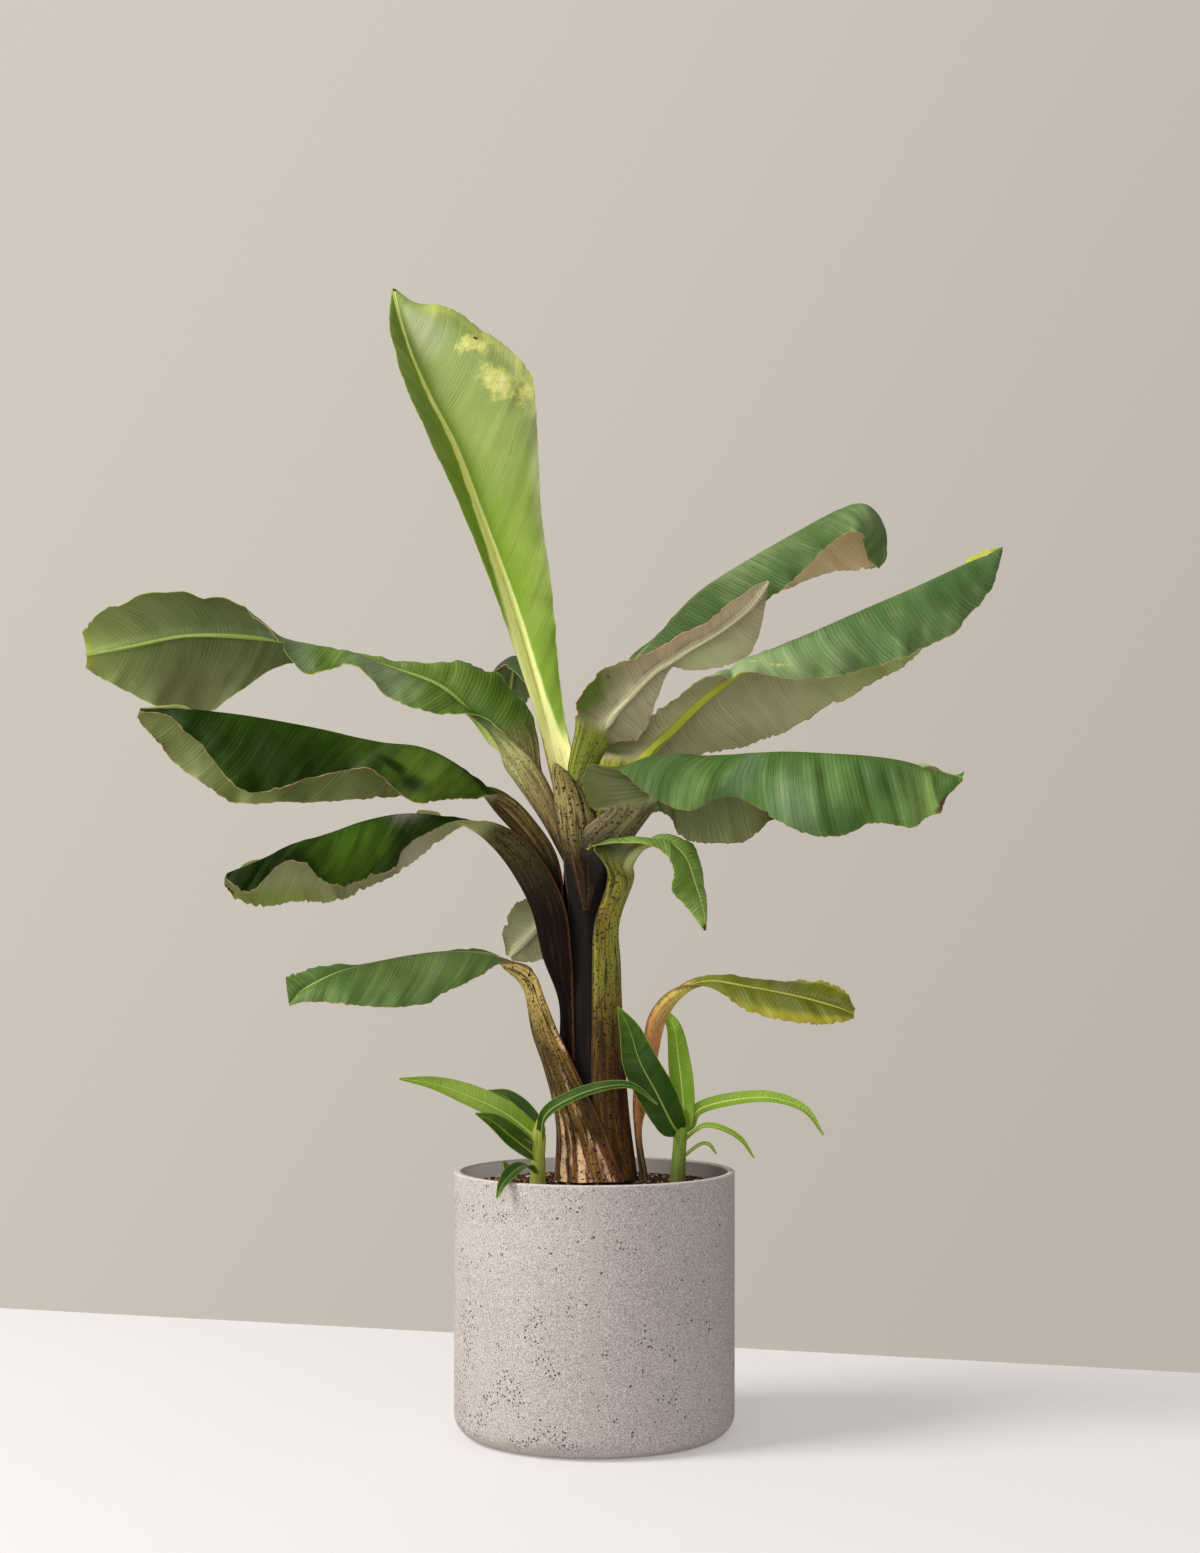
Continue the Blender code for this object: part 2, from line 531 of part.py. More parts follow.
def low_right(made):
    return leaf(
        "leaf_low_right",
        [
            wrap(0.002, -8, 18, 20, 4),
            wrap(0.050, -10, 16, 17, 4),
            at((0.049, -0.013, 0.362), (0.008, 0.008, 0.000), (-0.008, -0.008, 0.000), STALK),
            at((0.058, -0.020, 0.404), (0.006, 0.006, 0.000), (-0.008, -0.006, 0.000), STALK),
            at((0.067, -0.028, 0.445), (0.006, 0.007, -0.002), (-0.008, -0.006, 0.005), STALK),
            at((0.090, -0.040, 0.474), (-0.003, 0.009, 0.002), (-0.004, -0.008, 0.004), STALK),
            at((0.120, -0.050, 0.485), (0.000, 0.014, 0.006), (0.000, -0.012, -0.006)),
            at((0.165, -0.064, 0.480), (0.004, 0.026, 0.006), (-0.004, -0.020, -0.026)),
            at((0.212, -0.078, 0.471), (0.006, 0.028, 0.014), (0.000, -0.022, -0.028)),
            at((0.248, -0.090, 0.461), (0.006, 0.020, 0.018), (0.000, -0.014, -0.018)),
            at((0.268, -0.096, 0.452), (0.002, 0.006, 0.006), (0.000, -0.004, -0.004), TIP),
        ],
        made,
    )


def rear(made):
    return leaf(
        "leaf_rear",
        [
            foot(-0.16, 0.86),
            at((-0.024, 0.038, 0.680), (-0.007, -0.002, 0.000), (0.007, 0.001, 0.000), STALK),
            at((-0.040, 0.066, 0.750), (-0.008, -0.003, 0.000), (0.008, 0.002, 0.000), STALK),
            at((-0.060, 0.105, 0.810), (-0.016, -0.004, -0.002), (0.016, 0.004, -0.002)),
            at((-0.080, 0.155, 0.845), (-0.022, -0.004, -0.010), (0.022, 0.004, -0.010)),
            at((-0.092, 0.210, 0.848), (-0.024, -0.004, -0.020), (0.024, 0.004, -0.020)),
            at((-0.100, 0.262, 0.820), (-0.020, -0.004, -0.016), (0.020, 0.004, -0.016)),
            at((-0.104, 0.300, 0.775), (-0.002, 0.000, 0.000), (0.002, 0.000, 0.000), TIP),
        ],
        made,
    )


def low_rear(made):
    return leaf(
        "leaf_low_rear",
        [
            wrap(0.120, 105, 24, 24, 1),
            wrap(0.215, 105, 22, 22, 1),
            at((-0.012, 0.042, 0.538), (-0.012, -0.003, 0.000), (0.012, -0.003, 0.000), STALK),
            at((-0.022, 0.060, 0.566), (-0.013, -0.006, 0.003), (0.010, -0.004, 0.000), STALK),
            at((-0.042, 0.073, 0.562), (-0.024, 0.000, 0.010), (0.010, 0.002, -0.014)),
            at((-0.064, 0.077, 0.539), (-0.025, -0.004, 0.026), (0.018, 0.004, -0.026)),
            at((-0.082, 0.076, 0.520), (-0.018, -0.003, 0.018), (0.013, 0.003, -0.018)),
            at((-0.093, 0.074, 0.507), (-0.005, 0.000, 0.003), (0.003, 0.000, -0.004), TIP),
        ],
        made,
    )


# ---------------------------------------------------------------- pups


def pup_stem(name, x, y, height, lean, made):
    """A short round stem that leans a little in x as it rises, on the soil at x, y."""
    bm = bmesh.new()
    x *= POT_SCALE
    y *= POT_SCALE
    low = soil_height(math.hypot(x, y) - max(PUP_STEM_SWELLS) * PUP_STEM_RADIUS) + GAP
    rings = []
    for i, share in enumerate(PUP_STEM_SWELLS):
        t = i / (len(PUP_STEM_SWELLS) - 1)
        ring = []
        for k in range(PUP_STEM_SIDES):
            a = math.tau * k / PUP_STEM_SIDES
            radius = PUP_STEM_RADIUS * share
            ring.append(
                bm.verts.new(
                    (
                        x + lean * t + radius * math.cos(a),
                        y + PUP_STEM_DEPTH * radius * math.sin(a),
                        low + (SOIL_TOP + height * HEIGHT_SCALE - low) * t,
                    )
                )
            )
        rings.append(ring)
    for below, above in zip(rings, rings[1:]):
        for i in range(PUP_STEM_SIDES):
            j = (i + 1) % PUP_STEM_SIDES
            bm.faces.new((below[i], below[j], above[j], above[i]))
    bm.faces.new(rings[0][::-1])
    bm.faces.new(rings[-1])
    return new_object(name, bm, made)


def left_pup(stem, light, dark):
    pup_stem("left_pup_stem", -0.060, -0.030, 0.048, 0.001, stem)
    small_leaf(
        "left_pup_leaf_long",
        [
            (-0.066, -0.032, 0.322),
            (-0.094, -0.040, 0.345),
            (-0.132, -0.048, 0.364),
            (-0.168, -0.054, 0.377),
            (-0.204, -0.060, 0.383),
        ],
        0.0135,
        light,
        0.3,
        (0, -0.85, 0.5),
    )
    small_leaf(
        "left_pup_leaf_behind",
        [
            (-0.062, -0.020, 0.324),
            (-0.078, -0.012, 0.345),
            (-0.096, -0.004, 0.360),
            (-0.114, 0.002, 0.366),
        ],
        0.0125,
        dark,
        0.3,
        (0, -0.8, 0.6),
    )
    small_leaf(
        "left_pup_leaf_low",
        [
            (-0.071, -0.037, 0.307),
            (-0.088, -0.050, 0.322),
            (-0.106, -0.058, 0.338),
            (-0.124, -0.064, 0.347),
        ],
        0.0125,
        dark,
        0.3,
        (0, -0.85, 0.5),
    )
    small_leaf(
        "left_pup_leaf_across",
        [
            (-0.056, -0.036, 0.324),
            (-0.052, -0.050, 0.343),
            (-0.034, -0.060, 0.358),
            (0.002, -0.066, 0.373),
            (0.038, -0.068, 0.376),
            (0.066, -0.068, 0.357),
        ],
        0.0085,
        light,
        0.3,
        (0, -0.7, 0.7),
    )
    small_leaf(
        "left_pup_leaf_rim",
        [
            (-0.068, -0.044, 0.289),
            (-0.075, -0.075, 0.293),
            (-0.082, -0.105, 0.291),
            (-0.088, -0.122, 0.2865),
            (-0.094, -0.131, 0.279),
            (-0.099, -0.135, 0.267),
        ],
        0.0090,
        dark,
        0.3,
        (0, -0.5, 0.86),
    )
    small_leaf(
        "left_pup_leaf_tiny",
        [
            (-0.088, -0.034, 0.275),
            (-0.091, -0.034, 0.285),
            (-0.096, -0.034, 0.294),
        ],
        0.004,
        dark,
        0.2,
        (0.3, -0.9, 0.2),
    )


def right_pup(stem, light, dark):
    pup_stem("right_pup_stem", 0.088, -0.020, 0.060, 0.004, stem)
    small_leaf(
        "right_pup_leaf_upright",
        [
            (0.095, -0.018, 0.333),
            (0.094, -0.016, 0.360),
            (0.090, -0.014, 0.398),
            (0.084, -0.014, 0.436),
            (0.067, -0.014, 0.459),
        ],
        0.0140,
        light,
        0.45,
        (0, -1, 0.1),
    )
    small_leaf(
        "right_pup_leaf_broad",
        [
            (0.083, -0.032, 0.332),
            (0.066, -0.044, 0.366),
            (0.048, -0.052, 0.400),
            (0.037, -0.056, 0.434),
            (0.025, -0.058, 0.458),
        ],
        0.0205,
        dark,
        0.20,
        (0, -1, 0.1),
    )
    small_leaf(
        "right_pup_leaf_arching",
        [
            (0.103, -0.018, 0.332),
            (0.112, -0.022, 0.348),
            (0.146, -0.028, 0.358),
            (0.187, -0.034, 0.361),
            (0.222, -0.038, 0.349),
            (0.242, -0.040, 0.322),
        ],
        0.0085,
        light,
        0.3,
        (0, -0.75, 0.66),
    )
    small_leaf(
        "right_pup_leaf_low",
        [
            (0.102, -0.030, 0.322),
            (0.116, -0.036, 0.331),
            (0.134, -0.042, 0.329),
            (0.154, -0.046, 0.318),
            (0.168, -0.050, 0.299),
        ],
        0.0055,
        light,
        0.3,
        (0, -0.4, 0.9),
    )
    small_leaf(
        "right_pup_leaf_tiny",
        [
            (0.104, -0.026, 0.306),
            (0.114, -0.030, 0.312),
            (0.122, -0.034, 0.311),
            (0.129, -0.036, 0.302),
        ],
        0.0035,
        light,
        0.2,
        (0, -0.4, 0.9),
    )


# ---------------------------------------------------------------- pot and soil


def pot_profile():
    outer = POT_DIAMETER / 2
    inner = outer - POT_WALL
    inner_foot = POT_FOOT_RADIUS - POT_WALL
    return (
        [(0.0, 0.0)]
        + arc((outer - POT_FOOT_RADIUS, POT_FOOT_RADIUS), POT_FOOT_RADIUS, -90, 0, 6)
        + arc((outer - POT_RIM_ROUND, POT_HEIGHT - POT_RIM_ROUND), POT_RIM_ROUND, 0, 90, 2)
        + arc((inner + POT_RIM_ROUND, POT_HEIGHT - POT_RIM_ROUND), POT_RIM_ROUND, 90, 180, 2)
        + arc((inner - inner_foot, POT_BASE + inner_foot), inner_foot, 0, -90, 4)
        + [(0.0, POT_BASE)]
    )


def soil_height(radius):
    """The soil's surface at this distance from the pot's axis, a low mound."""
    reach = POT_DIAMETER / 2 - POT_WALL
    share = min(radius / reach, 1.0)
    return SOIL_TOP - SOIL_MOUND * (1 - math.cos(math.pi * max(share - 0.35, 0) / 0.65)) / 2


def soil_profile():
    side = POT_DIAMETER / 2 - POT_WALL - GAP
    low = POT_BASE + GAP
    foot_radius = POT_FOOT_RADIUS - POT_WALL
    top = [(side * share, soil_height(side * share)) for share in (1.0, 0.9, 0.8, 0.65, 0.5, 0.35)]
    return (
        [(0.0, low)]
        + arc((side - foot_radius, low + foot_radius), foot_radius, -90, 0, 4)
        + top
        + [(0.0, SOIL_TOP)]
    )


# ---------------------------------------------------------------- the plant

clear_scene()
PLANT_POT = bpy.data.objects.new("plant_pot", None)
bpy.context.scene.collection.objects.link(PLANT_POT)

stone = material("stone", (0.42, 0.37, 0.33), 0.9)
earth = material("soil", (0.035, 0.016, 0.010), 1.0)
trunk_brown = material("trunk", (0.045, 0.025, 0.015), 0.6)
spear_green = material("young_leaf", (0.30, 0.42, 0.10), 0.45)
dark_green = material("dark_leaf", (0.035, 0.12, 0.030), 0.4)
mid_green = material("leaf", (0.07, 0.20, 0.06), 0.45)
olive_green = material("old_leaf", (0.14, 0.20, 0.07), 0.5)
pup_stem_green = material("pup_stem", (0.30, 0.42, 0.06), 0.5)
pup_light = material("pup_leaf", (0.20, 0.42, 0.05), 0.45)
pup_dark = material("pup_leaf_dark", (0.05, 0.18, 0.02), 0.45)

turned("pot", pot_profile(), stone)
turned("soil", soil_profile(), earth)
trunk(trunk_brown)
spear(spear_green)
upper_left(dark_green)
middle_left(dark_green)
front_left(dark_green)
low_left(mid_green)
rear_right(mid_green)
inner_right(mid_green)
long_right(mid_green)
front_right(mid_green)
curled_right(mid_green)
low_right(olive_green)
rear(dark_green)
low_rear(olive_green)
left_pup(pup_stem_green, pup_light, pup_dark)
right_pup(pup_stem_green, pup_light, pup_dark)
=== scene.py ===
"""The looks of a potted banana plant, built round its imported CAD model: the leaves with their ribs, veins,
ripples and tears, the sheathed trunk, the side shoots, the soil with its bark, the pitted stone pot, and a
plain studio."""

import math

import bpy
import numpy as np
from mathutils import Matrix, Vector


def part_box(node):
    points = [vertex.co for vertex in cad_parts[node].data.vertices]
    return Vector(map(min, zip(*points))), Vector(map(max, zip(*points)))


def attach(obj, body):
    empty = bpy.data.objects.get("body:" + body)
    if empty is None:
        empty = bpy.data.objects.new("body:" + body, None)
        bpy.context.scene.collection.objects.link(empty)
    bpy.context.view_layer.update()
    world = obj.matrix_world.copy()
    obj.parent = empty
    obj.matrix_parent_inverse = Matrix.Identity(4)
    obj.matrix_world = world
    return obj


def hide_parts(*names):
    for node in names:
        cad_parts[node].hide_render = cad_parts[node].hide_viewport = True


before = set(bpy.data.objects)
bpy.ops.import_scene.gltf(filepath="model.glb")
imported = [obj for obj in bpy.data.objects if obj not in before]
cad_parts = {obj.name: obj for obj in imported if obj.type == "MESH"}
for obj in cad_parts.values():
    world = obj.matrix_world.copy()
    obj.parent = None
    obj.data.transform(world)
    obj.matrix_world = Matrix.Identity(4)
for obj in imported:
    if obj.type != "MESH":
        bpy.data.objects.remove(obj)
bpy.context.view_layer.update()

# ---- sizes, in metres

POT_RADIUS, _, POT_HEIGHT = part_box("pot")[1]
POT_WALL = 0.0075
POT_FOOT_RADIUS = 0.024
POT_FLOOR = 0.012
RIM_ROUND = 0.0018
GAP = 0.0003  # between the pieces that rest on each other
POT_SIDES = 192
PIT_REACH = 0.002  # how far inside the outer wall the pits end and the lining's painted light and shade begins

SOIL_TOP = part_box("soil")[1].z
SOIL_MOUND = 0.005
SOIL_RADIUS = POT_RADIUS - POT_WALL - GAP
SOIL_SIDES, SOIL_RINGS = 220, 70
TRUNK_CLEAR, PUP_CLEAR = 0.045, 0.0125  # from the stems' axes to the nearest loose bit

STEM_RADIUS = 0.024
STEM_DEPTH = 0.95
SHEATH_THICKNESS = 0.0025
SHEATH_CLEARANCE = 0.0013
STALK_CLEARANCE = 0.0036
PUP_STEM_RADIUS = 0.0078
PUP_SWELLS = (1.15, 1.0, 0.92, 0.98)
PUP_RIB = 0.0022
PUP_JOIN = 0.011
# Each pup's x and y, its stem's height over the soil, and how far its top leans to the right.
PUP_STEMS = {"left": (-0.060, -0.030, 0.048, 0.001), "right": (0.088, -0.020, 0.060, 0.004)}

# The trunk from the soil up: height over the soil, x of its axis, radius in stem radii.
STEM_RINGS = (
    (0.000, 0.004, 1.33),
    (0.064, 0.000, 1.12),
    (0.134, -0.003, 0.96),
    (0.194, -0.004, 0.90),
    (0.284, -0.008, 0.94),
    (0.328, -0.010, 0.96),
    (0.336, -0.010, 0.78),
)
STEM_TOP = STEM_RINGS[-1][0]

# Midrib thickness and share of sheath for each kind of station
SHEATH, STALK, BLADE, TIP = (0.0035, 1.0), (0.0065, 0.8), (0.0040, 0.0), (0.0016, 0.0)
BLADE_BOW = 0.14
STALK_BOW = -0.25
BLADE_SKIN = 0.0007
SHEATH_SKIN = 0.0022
SPANS = 14  # rows of the mesh between two stations
HALF_COLUMNS = 22

# Lengths of the waves along a leaf: its margins' broad waves and fine frill, the pleats between its veins,
# the blade's slow sag, and the notches and nicks of its ragged margin
WAVE, FRILL, PLEAT, SAG = 0.075, 0.026, 0.030, 0.11
NOTCH, NICK = 0.017, 0.006
SAG_DEPTH = 0.0016
VEINS_PER_METRE = 230.0
VEIN_BACK = 1.6  # how much more a vein leans back at the margin than at the midrib

# ---- materials


def rgb(red, green, blue):
    """A colour given in the everyday 0 to 255 scale, as the shader's linear values."""
    parts = [c / 255 for c in (red, green, blue)]
    return (*[c / 12.92 if c < 0.04045 else ((c + 0.055) / 1.055) ** 2.4 for c in parts], 1.0)


class Nodes:
    """A material's node tree, with a short call for each kind of node that is used here."""

    def __init__(self, name):
        self.material = bpy.data.materials.new(name)
        self.material.use_nodes = True
        self.tree = self.material.node_tree
        self.shader = self.tree.nodes["Principled BSDF"]
        self.output = self.tree.nodes["Material Output"]

    def add(self, kind, *inputs, **settings):
        """A new node with its first inputs filled, by value or by link."""
        node = self.tree.nodes.new(kind)
        for key, value in settings.items():
            setattr(node, key, value)
        for socket, value in zip(node.inputs, inputs):
            self.put(socket, value)
        return node

    def put(self, socket, value):
        if isinstance(value, bpy.types.NodeSocket):
            self.tree.links.new(value, socket)
        else:
            socket.default_value = value

    def attribute(self, name):
        return self.add("ShaderNodeAttribute", attribute_name=name).outputs["Fac"]

    def place(self):
        return self.add("ShaderNodeNewGeometry").outputs["Position"]

    def axes(self):
        """The place's x, y and z."""
        return self.add("ShaderNodeSeparateXYZ", self.place()).outputs

    def math(self, operation, *values):
        return self.add("ShaderNodeMath", *values, operation=operation).outputs[0]

    def times(self, a, b):
        return self.math("MULTIPLY", a, b)

    def plus(self, a, b):
        return self.math("ADD", a, b)

    def vector(self, x=0.0, y=0.0, z=0.0):
        return self.add("ShaderNodeCombineXYZ", x, y, z).outputs[0]

    def noise(self, place, scale, detail=2.0, roughness=0.5):
        node = self.add("ShaderNodeTexNoise")
        for name, value in zip(("Vector", "Scale", "Detail", "Roughness"), (place, scale, detail, roughness)):
            self.put(node.inputs[name], value)
        return node.outputs["Fac"]

    def flat_cells(self, place, scale):
        """How far the place is from the nearest point of an irregular flat grid, in cells."""
        node = self.add("ShaderNodeTexVoronoi", voronoi_dimensions="2D")
        self.put(node.inputs["Vector"], place)
        self.put(node.inputs["Scale"], scale)
        return node.outputs["Distance"]

    def rise(self, value, low, high, to_low=0.0, to_high=1.0):
        """value eased from to_low at low to to_high at high."""
        numbers = (value, low, high, to_low, to_high)
        return self.add("ShaderNodeMapRange", *numbers, interpolation_type="SMOOTHSTEP").outputs[0]

    def mix(self, share, a, b):
        node = self.add("ShaderNodeMix", data_type="RGBA")
        for socket, value in zip((node.inputs["Factor"], node.inputs[6], node.inputs[7]), (share, a, b)):
            self.put(socket, value)
        return node.outputs[2]

    def over(self, colour, paint, field, low, high, strength=1.0):
        """colour, with paint laid over it where the field rises from low to high."""
        return self.mix(self.times(self.rise(field, low, high), strength), colour, paint)

    def bump(self, height, depth, strength):
        node = self.add("ShaderNodeBump")
        self.put(node.inputs["Height"], height)
        node.inputs["Distance"].default_value = depth
        node.inputs["Strength"].default_value = strength
        return node.outputs["Normal"]

    def finish(self, colour, roughness, normal=None, through=None, share=0.0, shine=0.3):
        """Sets the shader's colour, roughness and normal. Light comes through when through is a colour."""
        self.put(self.shader.inputs["Base Color"], colour)
        self.put(self.shader.inputs["Roughness"], roughness)
        self.shader.inputs["Specular IOR Level"].default_value = shine
        if normal is not None:
            self.put(self.shader.inputs["Normal"], normal)
        if through is not None:
            glow = self.add("ShaderNodeBsdfTranslucent", through)
            both = self.add("ShaderNodeMixShader", share, self.shader.outputs[0], glow.outputs[0])
            self.put(self.output.inputs["Surface"], both.outputs[0])
        return self.material


def leaf_material(name, look, under):
    """A leaf's upper side or underside: streaks and fine veins that run from midrib to margin, with painted
    shade in the creases between them, the midrib's band, a dry margin, brown and pale patches, patches that
    are partly the leaf's own colour and partly painted shade and reflection, and the stalk's and sheath's
    colours with their specks and pale streaks, which are partly a painted highlight."""
    n = Nodes(name)
    face = look["under"] if under else look["upper"]
    across, edge, vein, rib, reach = map(n.attribute, ("across", "edge", "vein", "rib", "reach"))
    along, share, sheath, low, bottom = map(n.attribute, ("along", "share", "sheath", "low", "bottom"))
    place = n.place()

    def grain_of(first, first_rate, second, second_rate, shift=0, detail=3.0, roughness=0.6):
        """Noise drawn out in one direction, by its rates in two fields."""
        where = n.vector(n.times(first, first_rate), n.times(second, second_rate), look["seed"] + shift)
        return n.noise(where, 1.0, detail, roughness)

    # the blade's two greens, streaked across, with broad pale bands
    streak = grain_of(vein, 130.0, across, 9.0)
    fine = grain_of(vein, 900.0, across, 6.0, detail=2.0)
    wide = grain_of(vein, 26.0, across, 3.0, detail=2.0, roughness=0.5)
    cloud = n.noise(place, 11.0, 3.0, 0.55)
    tone = n.plus(n.plus(n.times(cloud, 0.9), n.times(streak, look["streak"])), n.times(fine, 0.25))
    low_tone = 0.45 + 0.45 * look["streak"]
    colour = n.mix(n.rise(tone, low_tone, low_tone + 0.52), face["dark"], face["light"])
    if "tip" in face:
        far = n.times(n.rise(reach, *face["tip_from"]), n.rise(tone, 0.3, 0.9, 0.7, 1.0))
        colour = n.mix(far, colour, face["tip"])
    colour = n.over(colour, face["bloom"], wide, 0.50, 0.66, look["bands"])
    # fine parallel veins: a light ridge with a line of painted shade in the groove on each side
    ruled = n.math("PINGPONG", n.plus(n.times(vein, VEINS_PER_METRE), n.times(streak, 0.9)), 0.5)
    kept = n.rise(n.noise(n.vector(n.times(vein, 40.0), n.times(across, 22.0), 4.0), 1.0), 0.35, 0.65, 0.15)
    colour = n.over(colour, face["crease_shade"], ruled, 0.17, 0.0, n.times(kept, look["ruling"]))
    colour = n.over(colour, face["vein"], ruled, 0.36, 0.50, n.times(kept, 0.5 * look["ruling"]))
    colour = n.over(colour, face["vein"], fine, 0.56, 0.70, 0.18)
    # a pale bloom of scratches and dust, then patches of another colour: partly the leaf's own colour and
    # partly painted shade and painted reflection
    colour = n.over(colour, face["bloom"], n.noise(place, 95.0, 4.0, 0.75), 0.62, 0.78, look["dust"])
    for k, (tint_and_shade, strength, _) in enumerate(look["tints"]):
        rough = n.plus(n.times(n.noise(place, 30.0, 5.0, 0.7), 0.9), n.times(streak, 1.1))
        colour = n.over(colour, tint_and_shade, n.times(n.attribute(f"tint{k}"), rough), 0.10, 0.95, strength)
    # the midrib
    colour = n.mix(n.rise(across, rib, n.times(rib, 4.0), 0.45, 0.0), colour, face["beside"])
    shaded = n.over(face["rib"], face["beside"], fine, 0.35, 0.75, 0.25)
    colour = n.over(colour, shaded, across, n.times(rib, 1.05), n.times(rib, 0.70))
    # pale and dry patches, then the margin
    mottle = n.math("SUBTRACT", n.noise(place, 75.0, 5.0, 0.75), 0.5)
    pale = n.plus(n.attribute("pale"), n.times(mottle, 2.4))
    colour = n.over(colour, look["pale"], pale, 0.45, 1.0, 0.85)
    colour = n.over(colour, rgb(250, 250, 226), pale, 1.0, 1.3, 0.7)
    colour = n.over(colour, look["dry"], n.plus(n.attribute("dry"), n.times(mottle, 1.6)), 0.45, 0.70)
    bitten = n.math("SUBTRACT", n.noise(place, 85.0, 3.0), 0.42)
    worn = n.math("SUBTRACT", edge, n.times(bitten, look["wear"]))
    colour = n.over(colour, look["margin"], worn, 0.0009, 0.0001, 0.85)
    # stalk and sheath, from the widest fibres to the smallest specks
    grain = grain_of(share, 9.0, along, 9.0, detail=5.0, roughness=0.65)
    strand = grain_of(share, 22.0, along, 14.0, 5)
    crack = grain_of(share, 16.0, along, 34.0, detail=4.0, roughness=0.7)
    smear = grain_of(share, 5.0, along, 16.0, 9)
    # the pale streaks laid along this gloss field are partly the sheath's own streaks, partly a painted
    # highlight
    gloss = grain_of(share, 3.2, along, 9.0, 2, detail=4.0, roughness=0.65)
    stalk = n.mix(low, look["stalk"], look["foot"])
    ground = n.plus(bottom, n.times(n.math("SUBTRACT", grain, 0.5), 1.4))
    for paint, field, start, end, strength in (
        ("base", ground, 0.35, 0.9, look["base_share"]),
        ("stalk_dark", grain, 0.47, 0.62, 0.75),
        ("strand", strand, 0.56, 0.66, 0.45),
        ("speck_colour", strand, 0.44, 0.36, 0.45),
        ("smear_colour", smear, 0.52, 0.64, look["smear"]),
        ("streak_and_gloss_colour", n.plus(gloss, n.times(bottom, 0.09)), 0.57, 0.68, look["streak_and_gloss"]),
        ("speck_colour", crack, 0.58, 0.64, look["speck"]),
        ("speck_colour", n.noise(place, 300.0, 3.0, 0.6), 0.56, 0.63, look["speck"]),
    ):
        stalk = n.over(stalk, look[paint], field, start, end, strength)
    stalk = n.mix(n.times(low, look["gloom"]), stalk, look["foot"])
    dried = n.plus(edge, n.times(n.noise(place, 150.0, 3.0), -0.004))
    stalk = n.over(stalk, look["sheath_edge"], dried, 0.0008, -0.0014, 0.75)
    colour = n.over(colour, stalk, sheath, 0.15, 0.75)

    rough = n.rise(n.plus(n.times(cloud, 0.5), n.times(fine, 0.5)), 0.3, 0.7, 0.42, 0.60)
    rough = n.plus(rough, n.times(sheath, 0.32))
    relief = n.plus(n.times(streak, 0.8), n.times(fine, 0.4))
    relief = n.plus(relief, n.rise(ruled, 0.0, 0.15, 0.0, 0.35))
    relief = n.plus(relief, n.times(n.times(n.plus(grain, crack), sheath), 1.3))
    clear = n.rise(sheath, 0.1, 0.7, look["glow"], 0.0)
    lit = n.mix(0.6, colour, look["through"])
    return n.finish(colour, rough, n.bump(relief, 0.0009, 0.75), lit, clear, look["shine"])


def stone_material():
    """Cast stone: an even sandy grain, and small black pits in loose groups, more of them low on the left."""
    n = Nodes("pot_stone")
    place = n.place()
    x, y, z = n.axes()
    turn = n.times(n.math("ARCTAN2", x, n.times(y, -1.0)), POT_RADIUS)
    wall = n.vector(turn, z, 0.0)
    sand = n.noise(place, 760.0, 2.0, 0.7)
    grit = n.noise(place, 1400.0, 2.0, 0.6)
    colour = n.over(rgb(162, 153, 147), rgb(170, 161, 155), n.noise(place, 9.0, 3.0, 0.5), 0.25, 0.75)
    colour = n.over(colour, rgb(214, 208, 204), sand, 0.50, 0.64, 0.70)
    colour = n.over(colour, rgb(96, 88, 83), sand, 0.48, 0.36, 0.60)
    colour = n.over(colour, rgb(200, 192, 187), grit, 0.54, 0.64, 0.35)
    # pits: small ones in groups, larger ones in fewer groups, and a few alone
    shift = n.vector(*[n.times(n.noise(place, scale), 0.0035) for scale in (260.0, 230.0)], 0.0)
    moved = n.add("ShaderNodeVectorMath", wall, shift, operation="ADD").outputs[0]
    leaning = n.plus(n.times(turn, -0.40), n.times(z, -0.35))
    groups = n.rise(n.plus(n.noise(wall, 26.0, 2.0, 0.6), leaning), 0.525, 0.575)
    rarer = n.rise(n.noise(wall, 41.0), 0.60, 0.65)
    pits = n.times(n.rise(n.flat_cells(moved, 170.0), 0.22, 0.12), groups)
    large = n.times(n.rise(n.flat_cells(moved, 95.0), 0.15, 0.08), rarer)
    lone = n.times(n.rise(n.flat_cells(moved, 60.0), 0.060, 0.030), 0.7)
    pits = n.math("MAXIMUM", n.math("MAXIMUM", pits, large), lone)
    from_axis = n.plus(n.times(x, x), n.times(y, y))
    outside = n.rise(from_axis, (POT_RADIUS - 2 * PIT_REACH) ** 2, (POT_RADIUS - PIT_REACH) ** 2)
    pits = n.times(pits, outside)
    colour = n.mix(n.times(pits, 0.85), colour, rgb(44, 38, 35))
    # a painted highlight along the top of the rim, and the lining's painted light and shade: pale on the
    # left, where the light reaches, and dark on the right
    colour = n.over(colour, rgb(216, 209, 204), z, POT_HEIGHT - 0.0024, POT_HEIGHT - 0.0004, 0.45)
    inside = n.times(n.math("SUBTRACT", 1.0, outside), n.rise(z, 0.5 * POT_HEIGHT, 0.6 * POT_HEIGHT))
    lining_light_and_shade = n.over(rgb(255, 252, 248), rgb(120, 112, 106), x, -0.09, 0.11)
    colour = n.over(colour, lining_light_and_shade, z, POT_HEIGHT, POT_HEIGHT - 0.003, n.times(inside, 0.85))
    relief = n.math("SUBTRACT", n.plus(n.times(sand, 0.5), n.times(grit, 0.25)), n.times(pits, 1.8))
    return n.finish(colour, 0.95, n.bump(relief, 0.0006, 0.6), shine=0.1)


